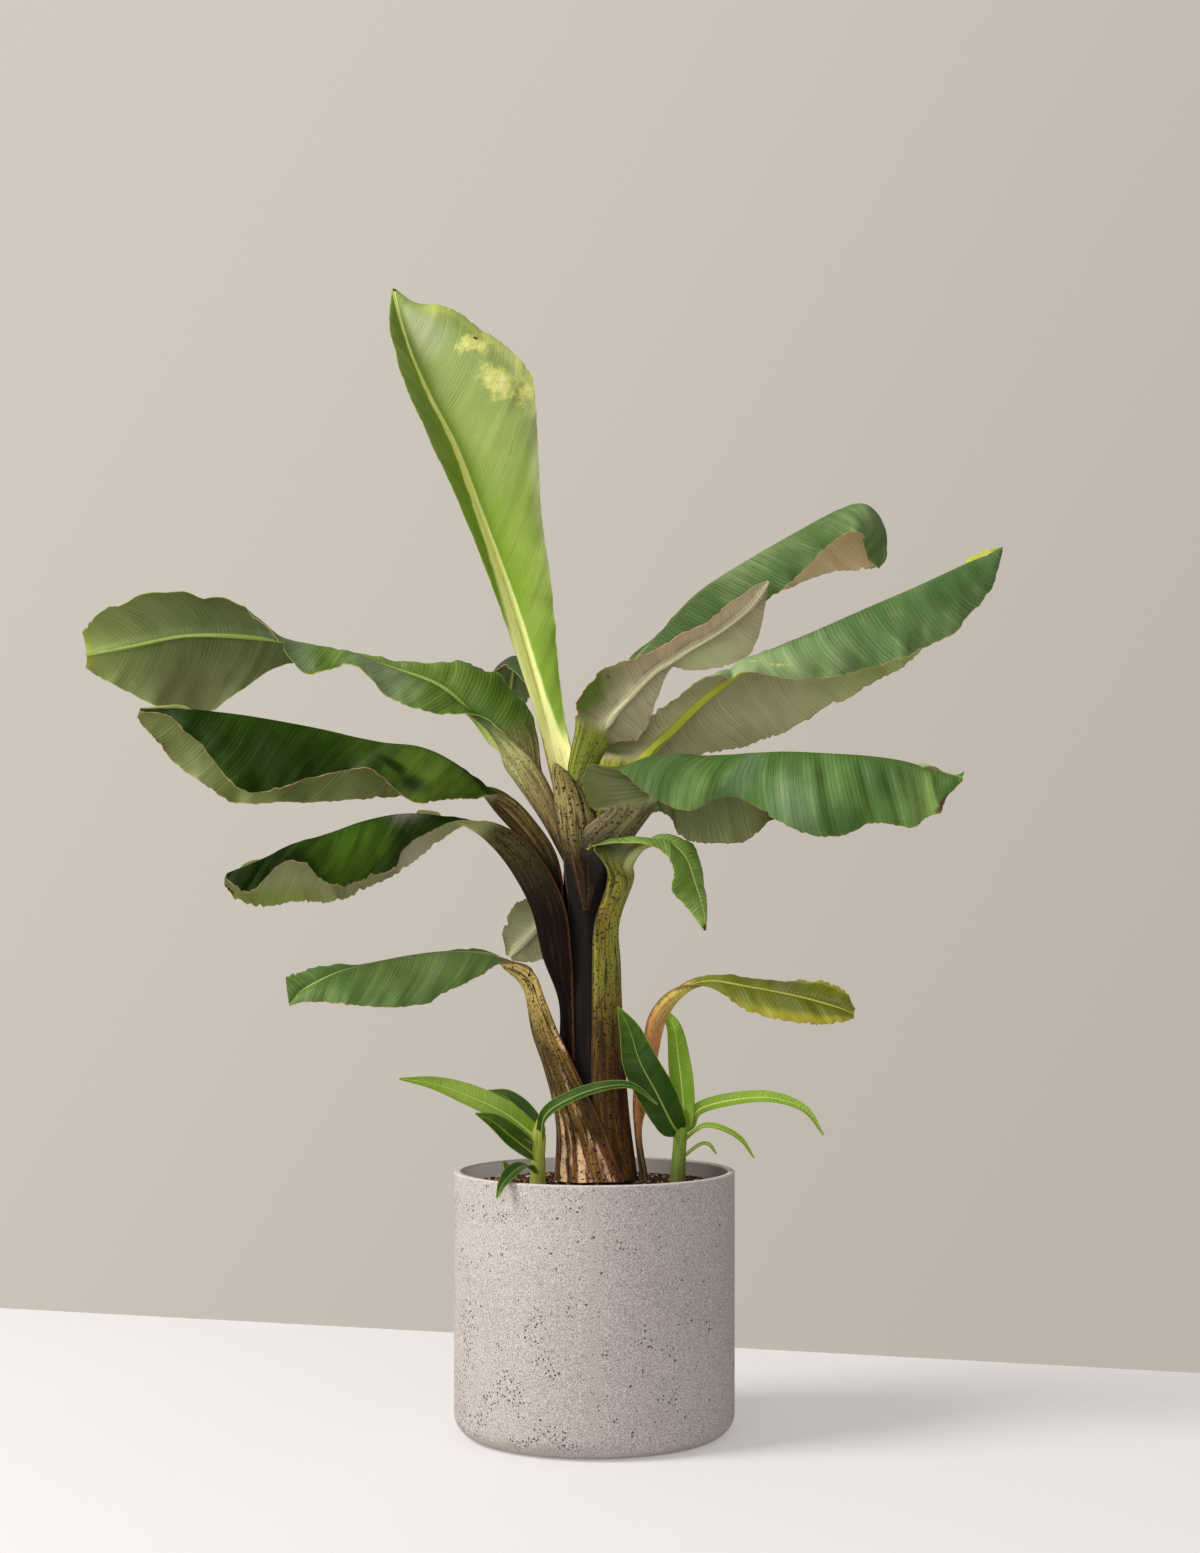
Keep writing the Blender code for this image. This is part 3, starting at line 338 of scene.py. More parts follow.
def soil_material(name, bits):
    """Dark crumbly earth, or the bark, crumbs and pale grains on it, by each bit's own tone."""
    n = Nodes(name)
    place = n.place()
    grain = n.noise(place, 320.0, 4.0, 0.7)
    colour = n.over(rgb(30, 17, 11), rgb(78, 49, 32), grain, 0.35, 0.7)
    if bits:
        tone = n.attribute("tone")
        colour = n.over(colour, rgb(112, 72, 44), tone, 0.30, 0.62)
        colour = n.over(colour, rgb(186, 140, 96), tone, 0.72, 0.82)
        colour = n.over(colour, rgb(226, 214, 196), tone, 0.93, 0.95)
        colour = n.over(colour, rgb(40, 24, 16), n.noise(place, 500.0, 3.0), 0.45, 0.7, 0.4)
    return n.finish(colour, 0.95, n.bump(grain, 0.0012, 0.9))


def trunk_material():
    """Old dry sheaths: dark brown with fibres along the trunk, paler and redder near the soil."""
    n = Nodes("trunk_fibres")
    around, height = n.attribute("share"), n.axes()[2]
    fibre = n.noise(n.vector(n.times(around, 60.0), n.times(height, 9.0), 1.0), 1.0, 4.0, 0.6)
    cloud = n.noise(n.place(), 24.0, 4.0, 0.6)
    colour = n.over(rgb(8, 5, 3), rgb(38, 23, 14), fibre, 0.35, 0.7)
    colour = n.over(colour, rgb(40, 26, 14), cloud, 0.55, 0.70, 0.3)
    colour = n.over(colour, rgb(140, 84, 56), height, SOIL_TOP + 0.06, SOIL_TOP + 0.01, 0.6)
    return n.finish(colour, n.rise(cloud, 0.3, 0.7, 0.8, 0.95), n.bump(fibre, 0.0012, 0.7), shine=0.05)


# ---- mesh helpers


def piece(name, points, faces, materials, slots=None, attributes=None, smooth=50.0):
    """A mesh object in the scene. Points of no face are left out."""
    used = np.zeros(len(points), bool)
    for face in faces:
        used[np.asarray(face, int).reshape(-1)] = True
    index = np.cumsum(used) - 1
    lists = [face for block in faces for face in index[np.asarray(block, int)].tolist()]
    mesh = bpy.data.meshes.new(name)
    mesh.from_pydata(np.asarray(points, float)[used].tolist(), [], lists)
    for each in materials:
        mesh.materials.append(each)
    if slots is not None:
        mesh.polygons.foreach_set("material_index", np.concatenate(slots).astype(np.int32))
    for key, values in (attributes or {}).items():
        layer = mesh.attributes.new(key, "FLOAT", "POINT")
        layer.data.foreach_set("value", np.asarray(values, np.float32).reshape(-1)[used])
    mesh.shade_smooth()
    mesh.set_sharp_from_angle(angle=math.radians(smooth))
    item = bpy.data.objects.new(name, mesh)
    bpy.context.scene.collection.objects.link(item)
    return item


def keep(item, slot, *nodes):
    """Rides the piece on the body, and lets it stand for its CAD nodes."""
    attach(item, "root")
    if nodes:
        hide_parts(*nodes)
    return item


def through(rows, steps):
    """A smooth curve through the rows, with this many spans between each two."""
    rows = np.asarray(rows, float)
    padded = np.vstack([2 * rows[0] - rows[1], rows, 2 * rows[-1] - rows[-2]])
    t = (np.arange(steps) / steps)[:, None]
    found = []
    for i in range(1, len(padded) - 2):
        a, b, c, d = padded[i - 1 : i + 3]
        cubic = 2 * b + (c - a) * t + (2 * a - 5 * b + 4 * c - d) * t**2 + (3 * b - a - 3 * c + d) * t**3
        found.append(0.5 * cubic)
    found.append(rows[-1:])
    return np.vstack(found)


def unit(vectors):
    return vectors / np.maximum(np.linalg.norm(vectors, axis=-1, keepdims=True), 1e-9)


def ease(values, low, high):
    t = np.clip((values - low) / (high - low), 0, 1)
    return t * t * (3 - 2 * t)


def ripple(x, length, seed):
    """An irregular wave of about this length and a height near 1, the same each run."""
    rng = np.random.RandomState(seed)
    total = 0.0
    for rate, height in ((0.61, 0.6), (1.0, 0.75), (1.43, 0.5), (2.2, 0.3)):
        total = total + height * np.sin(math.tau * rate * x / length + rng.uniform(0, math.tau))
    return total


def arc(centre, radius, start, end, steps):
    """Points of an arc in the profile plane (radius, height), angles in degrees."""
    turns = np.radians(np.linspace(start, end, steps + 1))
    return [(centre[0] + radius * math.cos(a), centre[1] + radius * math.sin(a)) for a in turns]


def ring_faces(rings, sides):
    """Quads between rings of points that close on themselves."""
    i, j = np.meshgrid(np.arange(rings - 1), np.arange(sides), indexing="ij")
    k = (j + 1) % sides
    quads = np.stack([i * sides + j, i * sides + k, (i + 1) * sides + k, (i + 1) * sides + j], axis=-1)
    return quads.reshape(-1, 4)


def capped(name, rings, ends, material, share=None, smooth=50.0):
    """A solid of stacked rings of points, closed at its foot and its top by fans round two end points."""
    count, sides = rings.shape[:2]
    total = count * sides
    j = np.arange(sides)
    k = (j + 1) % sides
    under = np.stack([np.full(sides, total), k, j], axis=1)
    over = np.stack([np.full(sides, total + 1), total - sides + j, total - sides + k], axis=1)
    points = np.vstack([rings.reshape(-1, 3), ends])
    fields = None if share is None else {"share": share}
    return piece(name, points, [ring_faces(count, sides), under, over], [material], None, fields, smooth)


# ---- leaves

# A leaf is a row of stations from its foot to its tip. Each station holds the midrib's place, the two edges
# as steps from the midrib (left and right as seen from the tip's side, on the upper face), how far each half
# bows out of the straight line from midrib to edge, the thickness at the midrib, and the share of sheath.


def stem_at(height):
    """The trunk's axis x and radius at this height over the soil."""
    heights, xs, radii = zip(*STEM_RINGS)
    return float(np.interp(height, heights, xs)), STEM_RADIUS * float(np.interp(height, heights, radii))


def wrap(height, angle, left, right, layer):
    """A station of a sheath that clasps the trunk: its midrib stands at this angle round the trunk (degrees,
    0 at +X), and its edges reach this many degrees further on each side. Layer 1 lies on the trunk."""
    x, radius = stem_at(height)
    radius += SHEATH_CLEARANCE + SHEATH_THICKNESS + (layer - 1) * (SHEATH_THICKNESS + 2 * SHEATH_CLEARANCE)

    def on_trunk(turn):
        a = math.radians(turn)
        return np.array((x + radius * math.cos(a), radius * STEM_DEPTH * math.sin(a), 0.0))

    rib = on_trunk(angle)
    edges = [on_trunk(angle + left) - rib, on_trunk(angle - right) - rib]
    bows = [-math.tan(math.radians(turn) / 4) / 2 for turn in (left, right)]
    return (rib[0], rib[1], SOIL_TOP + 2 * GAP + height, *edges[0], *edges[1], *bows, *SHEATH)


def foot(across, deep):
    """A stalk's lower end, on top of the trunk, at these shares of the trunk's radius."""
    x, radius = stem_at(STEM_RINGS[-2][0])
    base = (x + across * radius, deep * radius * STEM_DEPTH, SOIL_TOP + STALK_CLEARANCE + STEM_TOP)
    away = unit(np.array((across, deep, 0.0)))
    side = np.array((-away[1], away[0], 0.0)) * 0.20 * STEM_RADIUS
    return (*base, *side, *-side, STALK_BOW, STALK_BOW, *STALK)


def at(*stations, kind=BLADE, bow=None):
    """Free stations, each nine numbers in millimetres: the midrib's place, with z as height over the ground,
    the step to the left edge, and the step to the right edge."""
    if bow is None:
        bow = STALK_BOW if kind is STALK else BLADE_BOW
    bows = bow if isinstance(bow, tuple) else (bow, bow)
    return [(*[number / 1000 for number in numbers], *bows, *kind) for numbers in stations]


def sheet(rows, shares):
    """The leaf's upper face as a grid of points, and how far each lies from the midrib along its arc."""
    ribs = rows[:, None, :3]
    along = unit(np.gradient(rows[:, :3], axis=0))
    halves = []
    for first, bow_column, sign in ((3, 9, 1), (6, 10, -1)):
        edge = rows[:, first : first + 3]
        span = np.linalg.norm(edge, axis=1)[:, None]
        side = sign * unit(np.cross(along, edge))
        bow = rows[:, bow_column : bow_column + 1]
        size = np.maximum(np.abs(bow), 1e-4)
        half = 2 * np.arctan(2 * size)
        radius = span / (2 * np.sin(half))
        turn = half * (2 * shares[None, :] - 1)
        out = span / 2 + radius * np.sin(turn)
        off = radius * (np.cos(turn) - np.cos(half)) * np.sign(bow)
        points = ribs + unit(edge)[:, None, :] * out[..., None] + side[:, None, :] * off[..., None]
        halves.append((points, span * shares[None, :], span))
    left, right = halves
    points = np.concatenate([left[0][:, :0:-1], right[0]], axis=1)
    across = np.concatenate([left[1][:, :0:-1], right[1]], axis=1)
    return points, across, left[2], right[2]


def facing(points):
    """The upper side's direction at each point of a leaf's grid."""
    return unit(np.cross(np.gradient(points, axis=1), np.gradient(points, axis=0)))


def spots(marks, rows, shares):
    """A field over the grid that is near 1 at each mark: (place along in stations, share across, reach along
    in stations, reach across)."""
    field = np.zeros((len(rows), len(shares)))
    place = np.arange(len(rows))[:, None] / SPANS
    for where, across, reach, wide in marks:
        away = ((place - where) / reach) ** 2 + ((shares[None, :] - across) / wide) ** 2
        field = np.maximum(field, np.exp(-away))
    return field


def grow(name, nodes, slot, stations, look, half_columns=HALF_COLUMNS, spans=SPANS):
    """A finished leaf: the fine sheet through its stations with pleats, wavy margins and tears, thickened on
    its underside, with the fields that its materials read."""
    rows = through(stations, spans)
    even = np.linspace(0, 1, half_columns + 1)
    steps = 0.55 * (1 - np.cos(math.pi * even)) / 2 + 0.45 * even
    shares = np.concatenate([-steps[:0:-1], steps])
    points, across, left_span, right_span = sheet(rows, steps)
    count, wide = across.shape
    span = np.where(shares[None, :] < 0, left_span, right_span)
    out = np.abs(shares)[None, :]
    sheath = np.clip(rows[:, 12:13], 0, 1)
    rib_line = rows[:, :3]
    along = np.concatenate([[0], np.cumsum(np.linalg.norm(np.diff(rib_line, axis=0), axis=1))])[:, None]
    vein = along - look["slant"] * across - VEIN_BACK * across**2 / np.maximum(span, 0.01) * look["slant"]
    side = np.where(shares[None, :] < 0, 0.0, 7.3)
    seed = look["seed"]
    blade = (1 - ease(sheath, 0.0, 0.6)) * ease(span, 0.004, 0.030)

    normal = facing(points)
    wave = look["wave"] * out**3 * ripple(along + side, WAVE, seed) * ease(span, 0.01, 0.05)
    frill = look["frill"] * out**5 * ripple(along + side, FRILL, seed + 1)
    pleat = look["pleat"] * ease(out, 0.02, 0.35) * ripple(vein + side, PLEAT, seed + 2)
    sag = SAG_DEPTH * ripple(points[..., 0] + 0.6 * points[..., 2], SAG, seed + 3) * out
    channel = -look["channel"] * rows[:, 11:12] * np.exp(-((across / (0.9 * rows[:, 11:12])) ** 2))
    move = blade * (wave + frill + pleat + sag + channel)
    points = points + normal * move[..., None]

    # ragged margins, drawn in towards the midrib
    notch = np.maximum(ripple(along + side, NOTCH, seed + 4) - 0.4, 0)
    notch = notch + 0.35 * ripple(along + side, NICK, seed + 5)
    draw = look["ragged"] * blade * out**4 * notch / np.maximum(span, 0.005)
    middle = points[:, half_columns : half_columns + 1]
    points = points - (points - middle) * np.clip(draw, -0.1, 0.4)[..., None]

    # tears: the leaf opens between two rows, from a share of the way out to the margin
    kept = np.ones((count - 1, wide - 1), bool)
    edge = np.minimum(span * (1 - out), 1.0)
    run = np.gradient(points, axis=0)
    for where, tear_side, inner, opening in look["tears"]:
        row = int(where * spans)
        this = (np.sign(shares) == tear_side)[None, :] & (out > inner)
        t = np.clip((out - inner) / (1 - inner), 0, 1)
        place = np.arange(count)[:, None]
        step = np.linalg.norm(run, axis=-1)
        shift = (opening * t - step * (1 - t)) / 2
        fade = np.exp(-np.abs(place - row - 0.5) / 4.0)
        push = np.where(place <= row, -1, 1) * shift * fade * this
        points = points + unit(run) * push[..., None]
        columns = this[0][:-1] & this[0][1:]
        kept[row, columns] = False
        near = np.abs(place - row - 0.5) * step
        edge = np.where(this, np.minimum(edge, near), edge)

    normal = facing(points)
    skin = BLADE_SKIN + (SHEATH_SKIN - BLADE_SKIN) * sheath
    skin = np.minimum(skin, 0.0006 + 0.35 * span * (1 - out))
    swell = np.exp(-((across / (1.2 * rows[:, 11:12])) ** 2))
    thick = skin + np.maximum(rows[:, 11:12] - skin, 0) * swell
    under = points - normal * thick[..., None]

    i, j = np.nonzero(kept)
    corner = i * wide + j
    top = np.stack([corner, corner + 1, corner + wide + 1, corner + wide], axis=1)
    ends = np.concatenate([top[:, [k, (k + 1) % 4]] for k in range(4)])
    key = ends[:, 0] * (count * wide) + ends[:, 1]
    back = ends[:, 1] * (count * wide) + ends[:, 0]
    start, end = ends[~np.isin(key, back)].T
    size = count * wide
    walls = np.stack([end, start, start + size, end + size], axis=1)
    bottom = top[:, ::-1] + size

    reach = np.clip(1 - (along - along[0]) / along[-1], 0, 1)
    rib = look["rib_width"] * (0.10 + 0.90 * reach ** look["rib_taper"])
    rib = rib * np.where(shares[None, :] < 0, look["rib_sides"][0], look["rib_sides"][1])
    fields = {
        "bottom": ease(-rows[:, 2:3], -SOIL_TOP - 0.085, -SOIL_TOP - 0.02),
        "low": ease(-rows[:, 2:3], -look["foot_top"], -look["foot_end"]),
        "reach": 1 - reach,
        "across": across,
        "edge": edge,
        "vein": vein,
        "along": along,
        "sheath": sheath,
        "rib": rib,
        "share": shares[None, :],
        "pale": spots(look["pale_spots"], rows, shares),
        "dry": spots(look["dry_spots"], rows, shares),
        **{f"tint{k}": spots(marks, rows, shares) for k, (_, _, marks) in enumerate(look["tints"])},
    }
    item = piece(
        name,
        np.vstack([points.reshape(-1, 3), under.reshape(-1, 3)]),
        [top, bottom, walls],
        [leaf_material(name + "_upper", look, False), leaf_material(name + "_under", look, True)],
        [np.zeros(len(top)), np.ones(len(bottom)), np.zeros(len(walls))],
        {key: np.concatenate([(values + 0 * across).reshape(-1)] * 2) for key, values in fields.items()},
    )
    return keep(item, slot, *nodes)


# ---- the leaves' looks


def face(dark, light, rib, vein=None, beside=None, crease_shade=None, tip=None, tip_from=None):
    """One side of a leaf: its dark and light greens, its midrib, its fine veins, the blade just beside the
    midrib, the painted shade in the creases between the veins and, where it differs, the blade's colour
    towards the tip, with the shares of the length where that colour starts and is full."""
    colours = {
        "dark": dark,
        "light": light,
        "rib": rib,
        "vein": vein or [min(255, c + 24) for c in light],
        "crease_shade": crease_shade or [0.72 * c for c in dark],
        "bloom": (178, 186, 156),
        "beside": beside or dark,
    }
    if tip:
        colours["tip"] = tip
    return {**{key: rgb(*value) for key, value in colours.items()}, "tip_from": tip_from}


COMMON = dict(
    streak=0.4, ruling=0.5, bands=0.08, shine=0.24, smear=0.45, smear_colour=rgb(56, 36, 18), streak_and_gloss=0.25,
    streak_and_gloss_colour=rgb(196, 176, 120), gloom=0.0, dust=0.16, tints=(), pale=rgb(232, 228, 136),
    dry=rgb(96, 66, 38), margin=rgb(170, 136, 92), wear=0.0026, stalk=rgb(140, 150, 70),
    stalk_dark=rgb(84, 72, 34), foot=rgb(84, 56, 32), foot_top=0.6, foot_end=0.4, base=rgb(120, 74, 46),
    base_share=0.7, speck=0.55, speck_colour=rgb(26, 17, 11), sheath_edge=rgb(84, 52, 34),
    strand=rgb(170, 156, 96), glow=0.2, through=rgb(150, 190, 40), slant=0.22, wave=0.0042, frill=0.001,
    pleat=0.0008, ragged=0.0018, rib_width=0.0046, rib_taper=1.3, rib_sides=(1.0, 1.0), channel=0.5,
    tears=(), pale_spots=(), dry_spots=(),
)

LOOKS = {
    "leaf_spear": dict(
        slot="young_leaf",
        upper=face(
            (130, 166, 44), (186, 206, 104), (255, 255, 176), vein=(192, 206, 110), beside=(112, 152, 20),
            crease_shade=(98, 134, 24), tip=(154, 170, 100), tip_from=(0.42, 0.9),
        ),
        under=face((96, 126, 44), (160, 180, 96), (200, 210, 100)), streak=0.3, bands=0.1, dust=0.3,
        tints=(
            (rgb(92, 120, 50), 0.75, ((6.0, -0.8, 2.6, 0.55), (9.0, -0.6, 1.6, 0.6))),
            (
                rgb(190, 194, 160), 0.5,
                ((8.8, 0.3, 1.1, 0.35), (7.0, 1.0, 1.5, 0.16), (5.4, 1.0, 1.5, 0.12)),
            ),
            (
                rgb(206, 214, 110), 0.55,
                ((8.3, 0.92, 1.0, 0.1), (7.0, 0.97, 0.9, 0.1), (9.3, 0.85, 0.4, 0.3)),
            ),
        ),
        margin=rgb(190, 198, 110), wear=0.001, stalk=rgb(255, 252, 170), stalk_dark=rgb(240, 240, 140),
        strand=rgb(255, 255, 200), foot=rgb(244, 240, 130), speck=0.0, smear=0.0, streak_and_gloss=0.0, glow=0.3,
        through=rgb(220, 230, 60), wave=0.0018, frill=0.0004, pleat=0.0005, ragged=0.001, rib_width=0.014,
        rib_sides=(1.8, 1.15), rib_taper=0.9, channel=0.0, slant=0.42,
        pale_spots=((6.9, 0.7, 0.55, 0.22), (7.9, 0.74, 0.4, 0.22), (6.6, 0.93, 0.5, 0.14)),
        dry_spots=((8.05, 0.8, 0.07, 0.05), (6.75, 0.76, 0.06, 0.04), (11.0, 0.0, 0.3, 1.0)),
    ),
    "leaf_upper_left": dict(
        slot="dark_leaf", upper=face((66, 94, 22), (124, 150, 64), (150, 172, 80), beside=(84, 112, 34)),
        under=face(
            (92, 104, 56), (136, 146, 92), (160, 182, 84), vein=(160, 168, 120), tip=(142, 156, 86),
            tip_from=(0.8, 1.0),
        ),
        tints=(
            (rgb(128, 142, 112), 0.6, ((6.2, -0.6, 0.9, 0.6), (8.4, -0.4, 0.7, 0.8))),
            (rgb(104, 96, 66), 0.5, ((10.0, 0.75, 0.8, 0.4),)),
            (rgb(150, 160, 60), 0.9, ((12.0, 0.0, 0.25, 1.2),)),
        ),
        stalk=rgb(150, 152, 92), stalk_dark=rgb(118, 86, 60), strand=rgb(196, 196, 140),
        foot=rgb(104, 78, 48), foot_top=0.74, foot_end=0.62, margin=rgb(180, 178, 104), wave=0.003,
        ragged=0.0012, shine=0.14, rib_width=0.004, tears=((8.55, -1, 0.55, 0.0045),),
    ),
    "leaf_middle_left": dict(
        slot="dark_leaf",
        upper=face((18, 40, 0), (56, 86, 12), (34, 62, 4), vein=(80, 108, 34), beside=(18, 38, 0)),
        under=face((134, 144, 80), (180, 186, 134), (160, 170, 96)),
        tints=(
            (rgb(100, 128, 44), 0.6, ((7.4, -0.6, 1.7, 0.7),)),
            (rgb(10, 30, 2), 0.85, ((8.0, -0.75, 0.45, 0.16), (8.5, -0.62, 0.35, 0.12))),
        ),
        stalk=rgb(88, 76, 40), stalk_dark=rgb(48, 34, 20), foot=rgb(24, 14, 9), foot_top=0.64,
        foot_end=0.58, margin=rgb(186, 150, 108), dust=0.1, bands=0.04, shine=0.06, streak=0.22,
        smear_colour=rgb(20, 12, 8), streak_and_gloss=0.1, gloom=0.6,
    ),
    "leaf_front_left": dict(
        slot="dark_leaf",
        upper=face((10, 28, 0), (46, 74, 12), (20, 42, 4), vein=(68, 94, 28), beside=(10, 26, 0)),
        under=face((142, 152, 92), (200, 200, 154), (170, 176, 116)),
        tints=(
            (rgb(88, 124, 34), 0.6, ((9.3, -0.5, 1.4, 0.6),)),
            (rgb(196, 188, 168), 0.7, ((7.6, 0.6, 0.9, 0.8),)),
            (rgb(140, 156, 50), 0.55, ((11.5, 0.92, 1.6, 0.22),)),
        ),
        stalk=rgb(80, 72, 40), stalk_dark=rgb(36, 24, 14), strand=rgb(104, 84, 52), foot=rgb(22, 12, 8),
        base=rgb(30, 18, 12), foot_top=0.645, foot_end=0.54, speck=0.9, margin=rgb(190, 152, 110),
        ragged=0.0026, dust=0.1, bands=0.04, shine=0.06, streak=0.22, smear_colour=rgb(12, 7, 4), streak_and_gloss=0.0,
        gloom=0.6, dry_spots=((12.8, 0.95, 0.25, 0.12),),
    ),
    "leaf_low_left": dict(
        slot="leaf", upper=face((80, 114, 42), (140, 168, 94), (178, 190, 108), vein=(150, 174, 108)),
        under=face((96, 106, 50), (140, 144, 90), (160, 164, 90)), stalk=rgb(200, 176, 96),
        stalk_dark=rgb(134, 104, 34), strand=rgb(170, 140, 60), foot=rgb(74, 54, 14), foot_top=0.48,
        base=rgb(120, 72, 46), base_share=0.9, speck=1.0, smear=0.85, smear_colour=rgb(30, 16, 8),
        streak_and_gloss=0.95, streak_and_gloss_colour=rgb(248, 206, 160), shine=0.3, margin=rgb(160, 116, 76), bands=0.2,
    ),
    "leaf_rear_right": dict(
        slot="leaf", upper=face((80, 110, 52), (156, 180, 118), (160, 186, 96), vein=(156, 180, 122)),
        under=face((244, 216, 170), (255, 240, 204), (255, 236, 200), crease_shade=(220, 186, 146)), ruling=0.6,
        margin=rgb(190, 172, 104), ragged=0.0022, foot_top=0.7, foot_end=0.6,
    ),
    "leaf_inner_right": dict(
        slot="leaf", upper=face((66, 94, 14), (124, 142, 44), (180, 180, 96)),
        under=face(
            (158, 146, 112), (200, 190, 156), (226, 220, 176), vein=(206, 198, 166), beside=(180, 172, 136),
        ),
        tints=(
            (rgb(186, 192, 142), 0.8, ((8.8, -0.8, 1.5, 0.6),)),
            (rgb(216, 178, 146), 0.7, ((8.0, 0.9, 2.4, 0.5),)),
            (rgb(84, 108, 14), 0.9, ((4.5, 0.8, 1.1, 0.6),)),
        ),
        stalk=rgb(122, 136, 40), stalk_dark=rgb(84, 66, 28), foot=rgb(104, 104, 36), foot_top=0.7,
        foot_end=0.6, margin=rgb(196, 156, 120), rib_width=0.0015, wave=0.0034, ruling=0.35,
        dry_spots=((4.6, 0.62, 0.08, 0.06), (4.9, 0.8, 0.06, 0.05), (5.2, 0.7, 0.06, 0.05)),
    ),
    "leaf_long_right": dict(
        slot="leaf", upper=face((76, 108, 54), (142, 166, 106), (176, 184, 62), vein=(156, 178, 122)),
        under=face(
            (176, 170, 126), (212, 206, 166), (196, 198, 60), vein=(206, 202, 162), beside=(170, 166, 106),
            tip=(206, 220, 142), tip_from=(0.55, 0.8),
        ),
        stalk=rgb(176, 176, 60), stalk_dark=rgb(140, 138, 44), foot=rgb(140, 138, 50), foot_top=0.68,
        foot_end=0.6, speck=0.3, margin=rgb(186, 156, 104), dust=0.26, ragged=0.0022, rib_width=0.006,
        tints=(
            (rgb(166, 190, 132), 0.75, ((7.6, 0.8, 1.5, 0.6),)),
            (rgb(48, 84, 30), 0.7, ((12.0, 0.3, 1.2, 0.4),)),
        ),
        pale_spots=((7.9, 0.74, 0.2, 0.05), (8.4, 0.8, 0.35, 0.04)),
    ),
    "leaf_front_right": dict(
        slot="leaf", upper=face((74, 108, 42), (136, 168, 92), (170, 194, 110), vein=(148, 176, 110)),
        under=face((126, 132, 82), (166, 172, 116), (170, 180, 120)), ruling=0.42, bands=0.06, streak=0.18,
        slant=0.06,
        tints=(
            (rgb(34, 58, 22), 0.55, ((15.6, 0.45, 0.9, 0.35), (14.3, 0.9, 0.4, 0.3))),
            (rgb(150, 174, 140), 0.3, ((13.3, 0.75, 0.6, 0.4), (12.0, 0.5, 0.4, 0.7))),
            (rgb(62, 88, 40), 0.6, ((9.6, 0.5, 1.2, 0.5),)),
            (rgb(150, 180, 92), 0.3, ((16.6, 0.7, 1.0, 0.6),)),
            (rgb(180, 200, 80), 0.9, ((18.8, 0.3, 0.8, 1.2),)),
        ),
        stalk=rgb(122, 112, 74), stalk_dark=rgb(70, 52, 34), foot=rgb(10, 6, 4), foot_top=0.65,
        foot_end=0.6, base=rgb(10, 6, 4), strand=rgb(52, 36, 24), speck=0.9, gloom=0.9, smear=0.2,
        margin=rgb(132, 116, 56), dust=0.26, wave=0.0062, frill=0.0006, pleat=0.0016,
        dry_spots=((17.2, 0.95, 0.35, 0.1), (19.0, 0.0, 0.12, 1.0)),
    ),
    "leaf_curled_right": dict(
        slot="leaf", upper=face((96, 130, 40), (190, 220, 116), (196, 216, 120)),
        under=face((124, 130, 80), (170, 172, 118), (170, 178, 110)),
        tints=((rgb(28, 52, 8), 0.9, ((6.4, 0.8, 1.2, 0.7),)),), stalk=rgb(150, 150, 60),
        stalk_dark=rgb(118, 96, 30), foot=rgb(76, 46, 22), foot_top=0.53, foot_end=0.38, gloom=0.25,
        base=rgb(70, 34, 22), strand=rgb(176, 140, 50), speck=1.0, smear=0.7, smear_colour=rgb(22, 12, 7),
        streak_and_gloss=0.3, streak_and_gloss_colour=rgb(176, 110, 60), margin=rgb(190, 176, 92), sheath_edge=rgb(62, 34, 24),
        dry_spots=((12.0, 0.0, 0.5, 1.0),),
    ),
    "leaf_low_right": dict(
        slot="old_leaf", upper=face((90, 96, 14), (142, 146, 46), (180, 180, 80)),
        under=face((98, 96, 26), (148, 146, 62), (176, 176, 80)),
        tints=((rgb(168, 160, 44), 0.8, ((8.5, 0.9, 2.0, 0.25), (8.5, -0.9, 2.0, 0.25))),),
        stalk=rgb(196, 186, 84), stalk_dark=rgb(190, 142, 84), foot=rgb(206, 134, 84), foot_top=0.475,
        foot_end=0.43, base=rgb(40, 38, 16), base_share=1.0, smear_colour=rgb(60, 50, 22), speck=0.3,
        margin=rgb(150, 128, 50), ragged=0.0028, wave=0.003,
    ),
    "leaf_rear": dict(
        slot="dark_leaf", upper=face((20, 48, 4), (60, 98, 28), (140, 170, 70)),
        under=face((84, 104, 50), (130, 142, 90), (160, 174, 90)),
    ),
    "leaf_low_rear": dict(
        slot="old_leaf", upper=face((66, 88, 36), (112, 134, 74), (160, 170, 90)),
        under=face((168, 168, 122), (214, 212, 172), (214, 214, 176)), margin=rgb(170, 160, 104),
    ),
}


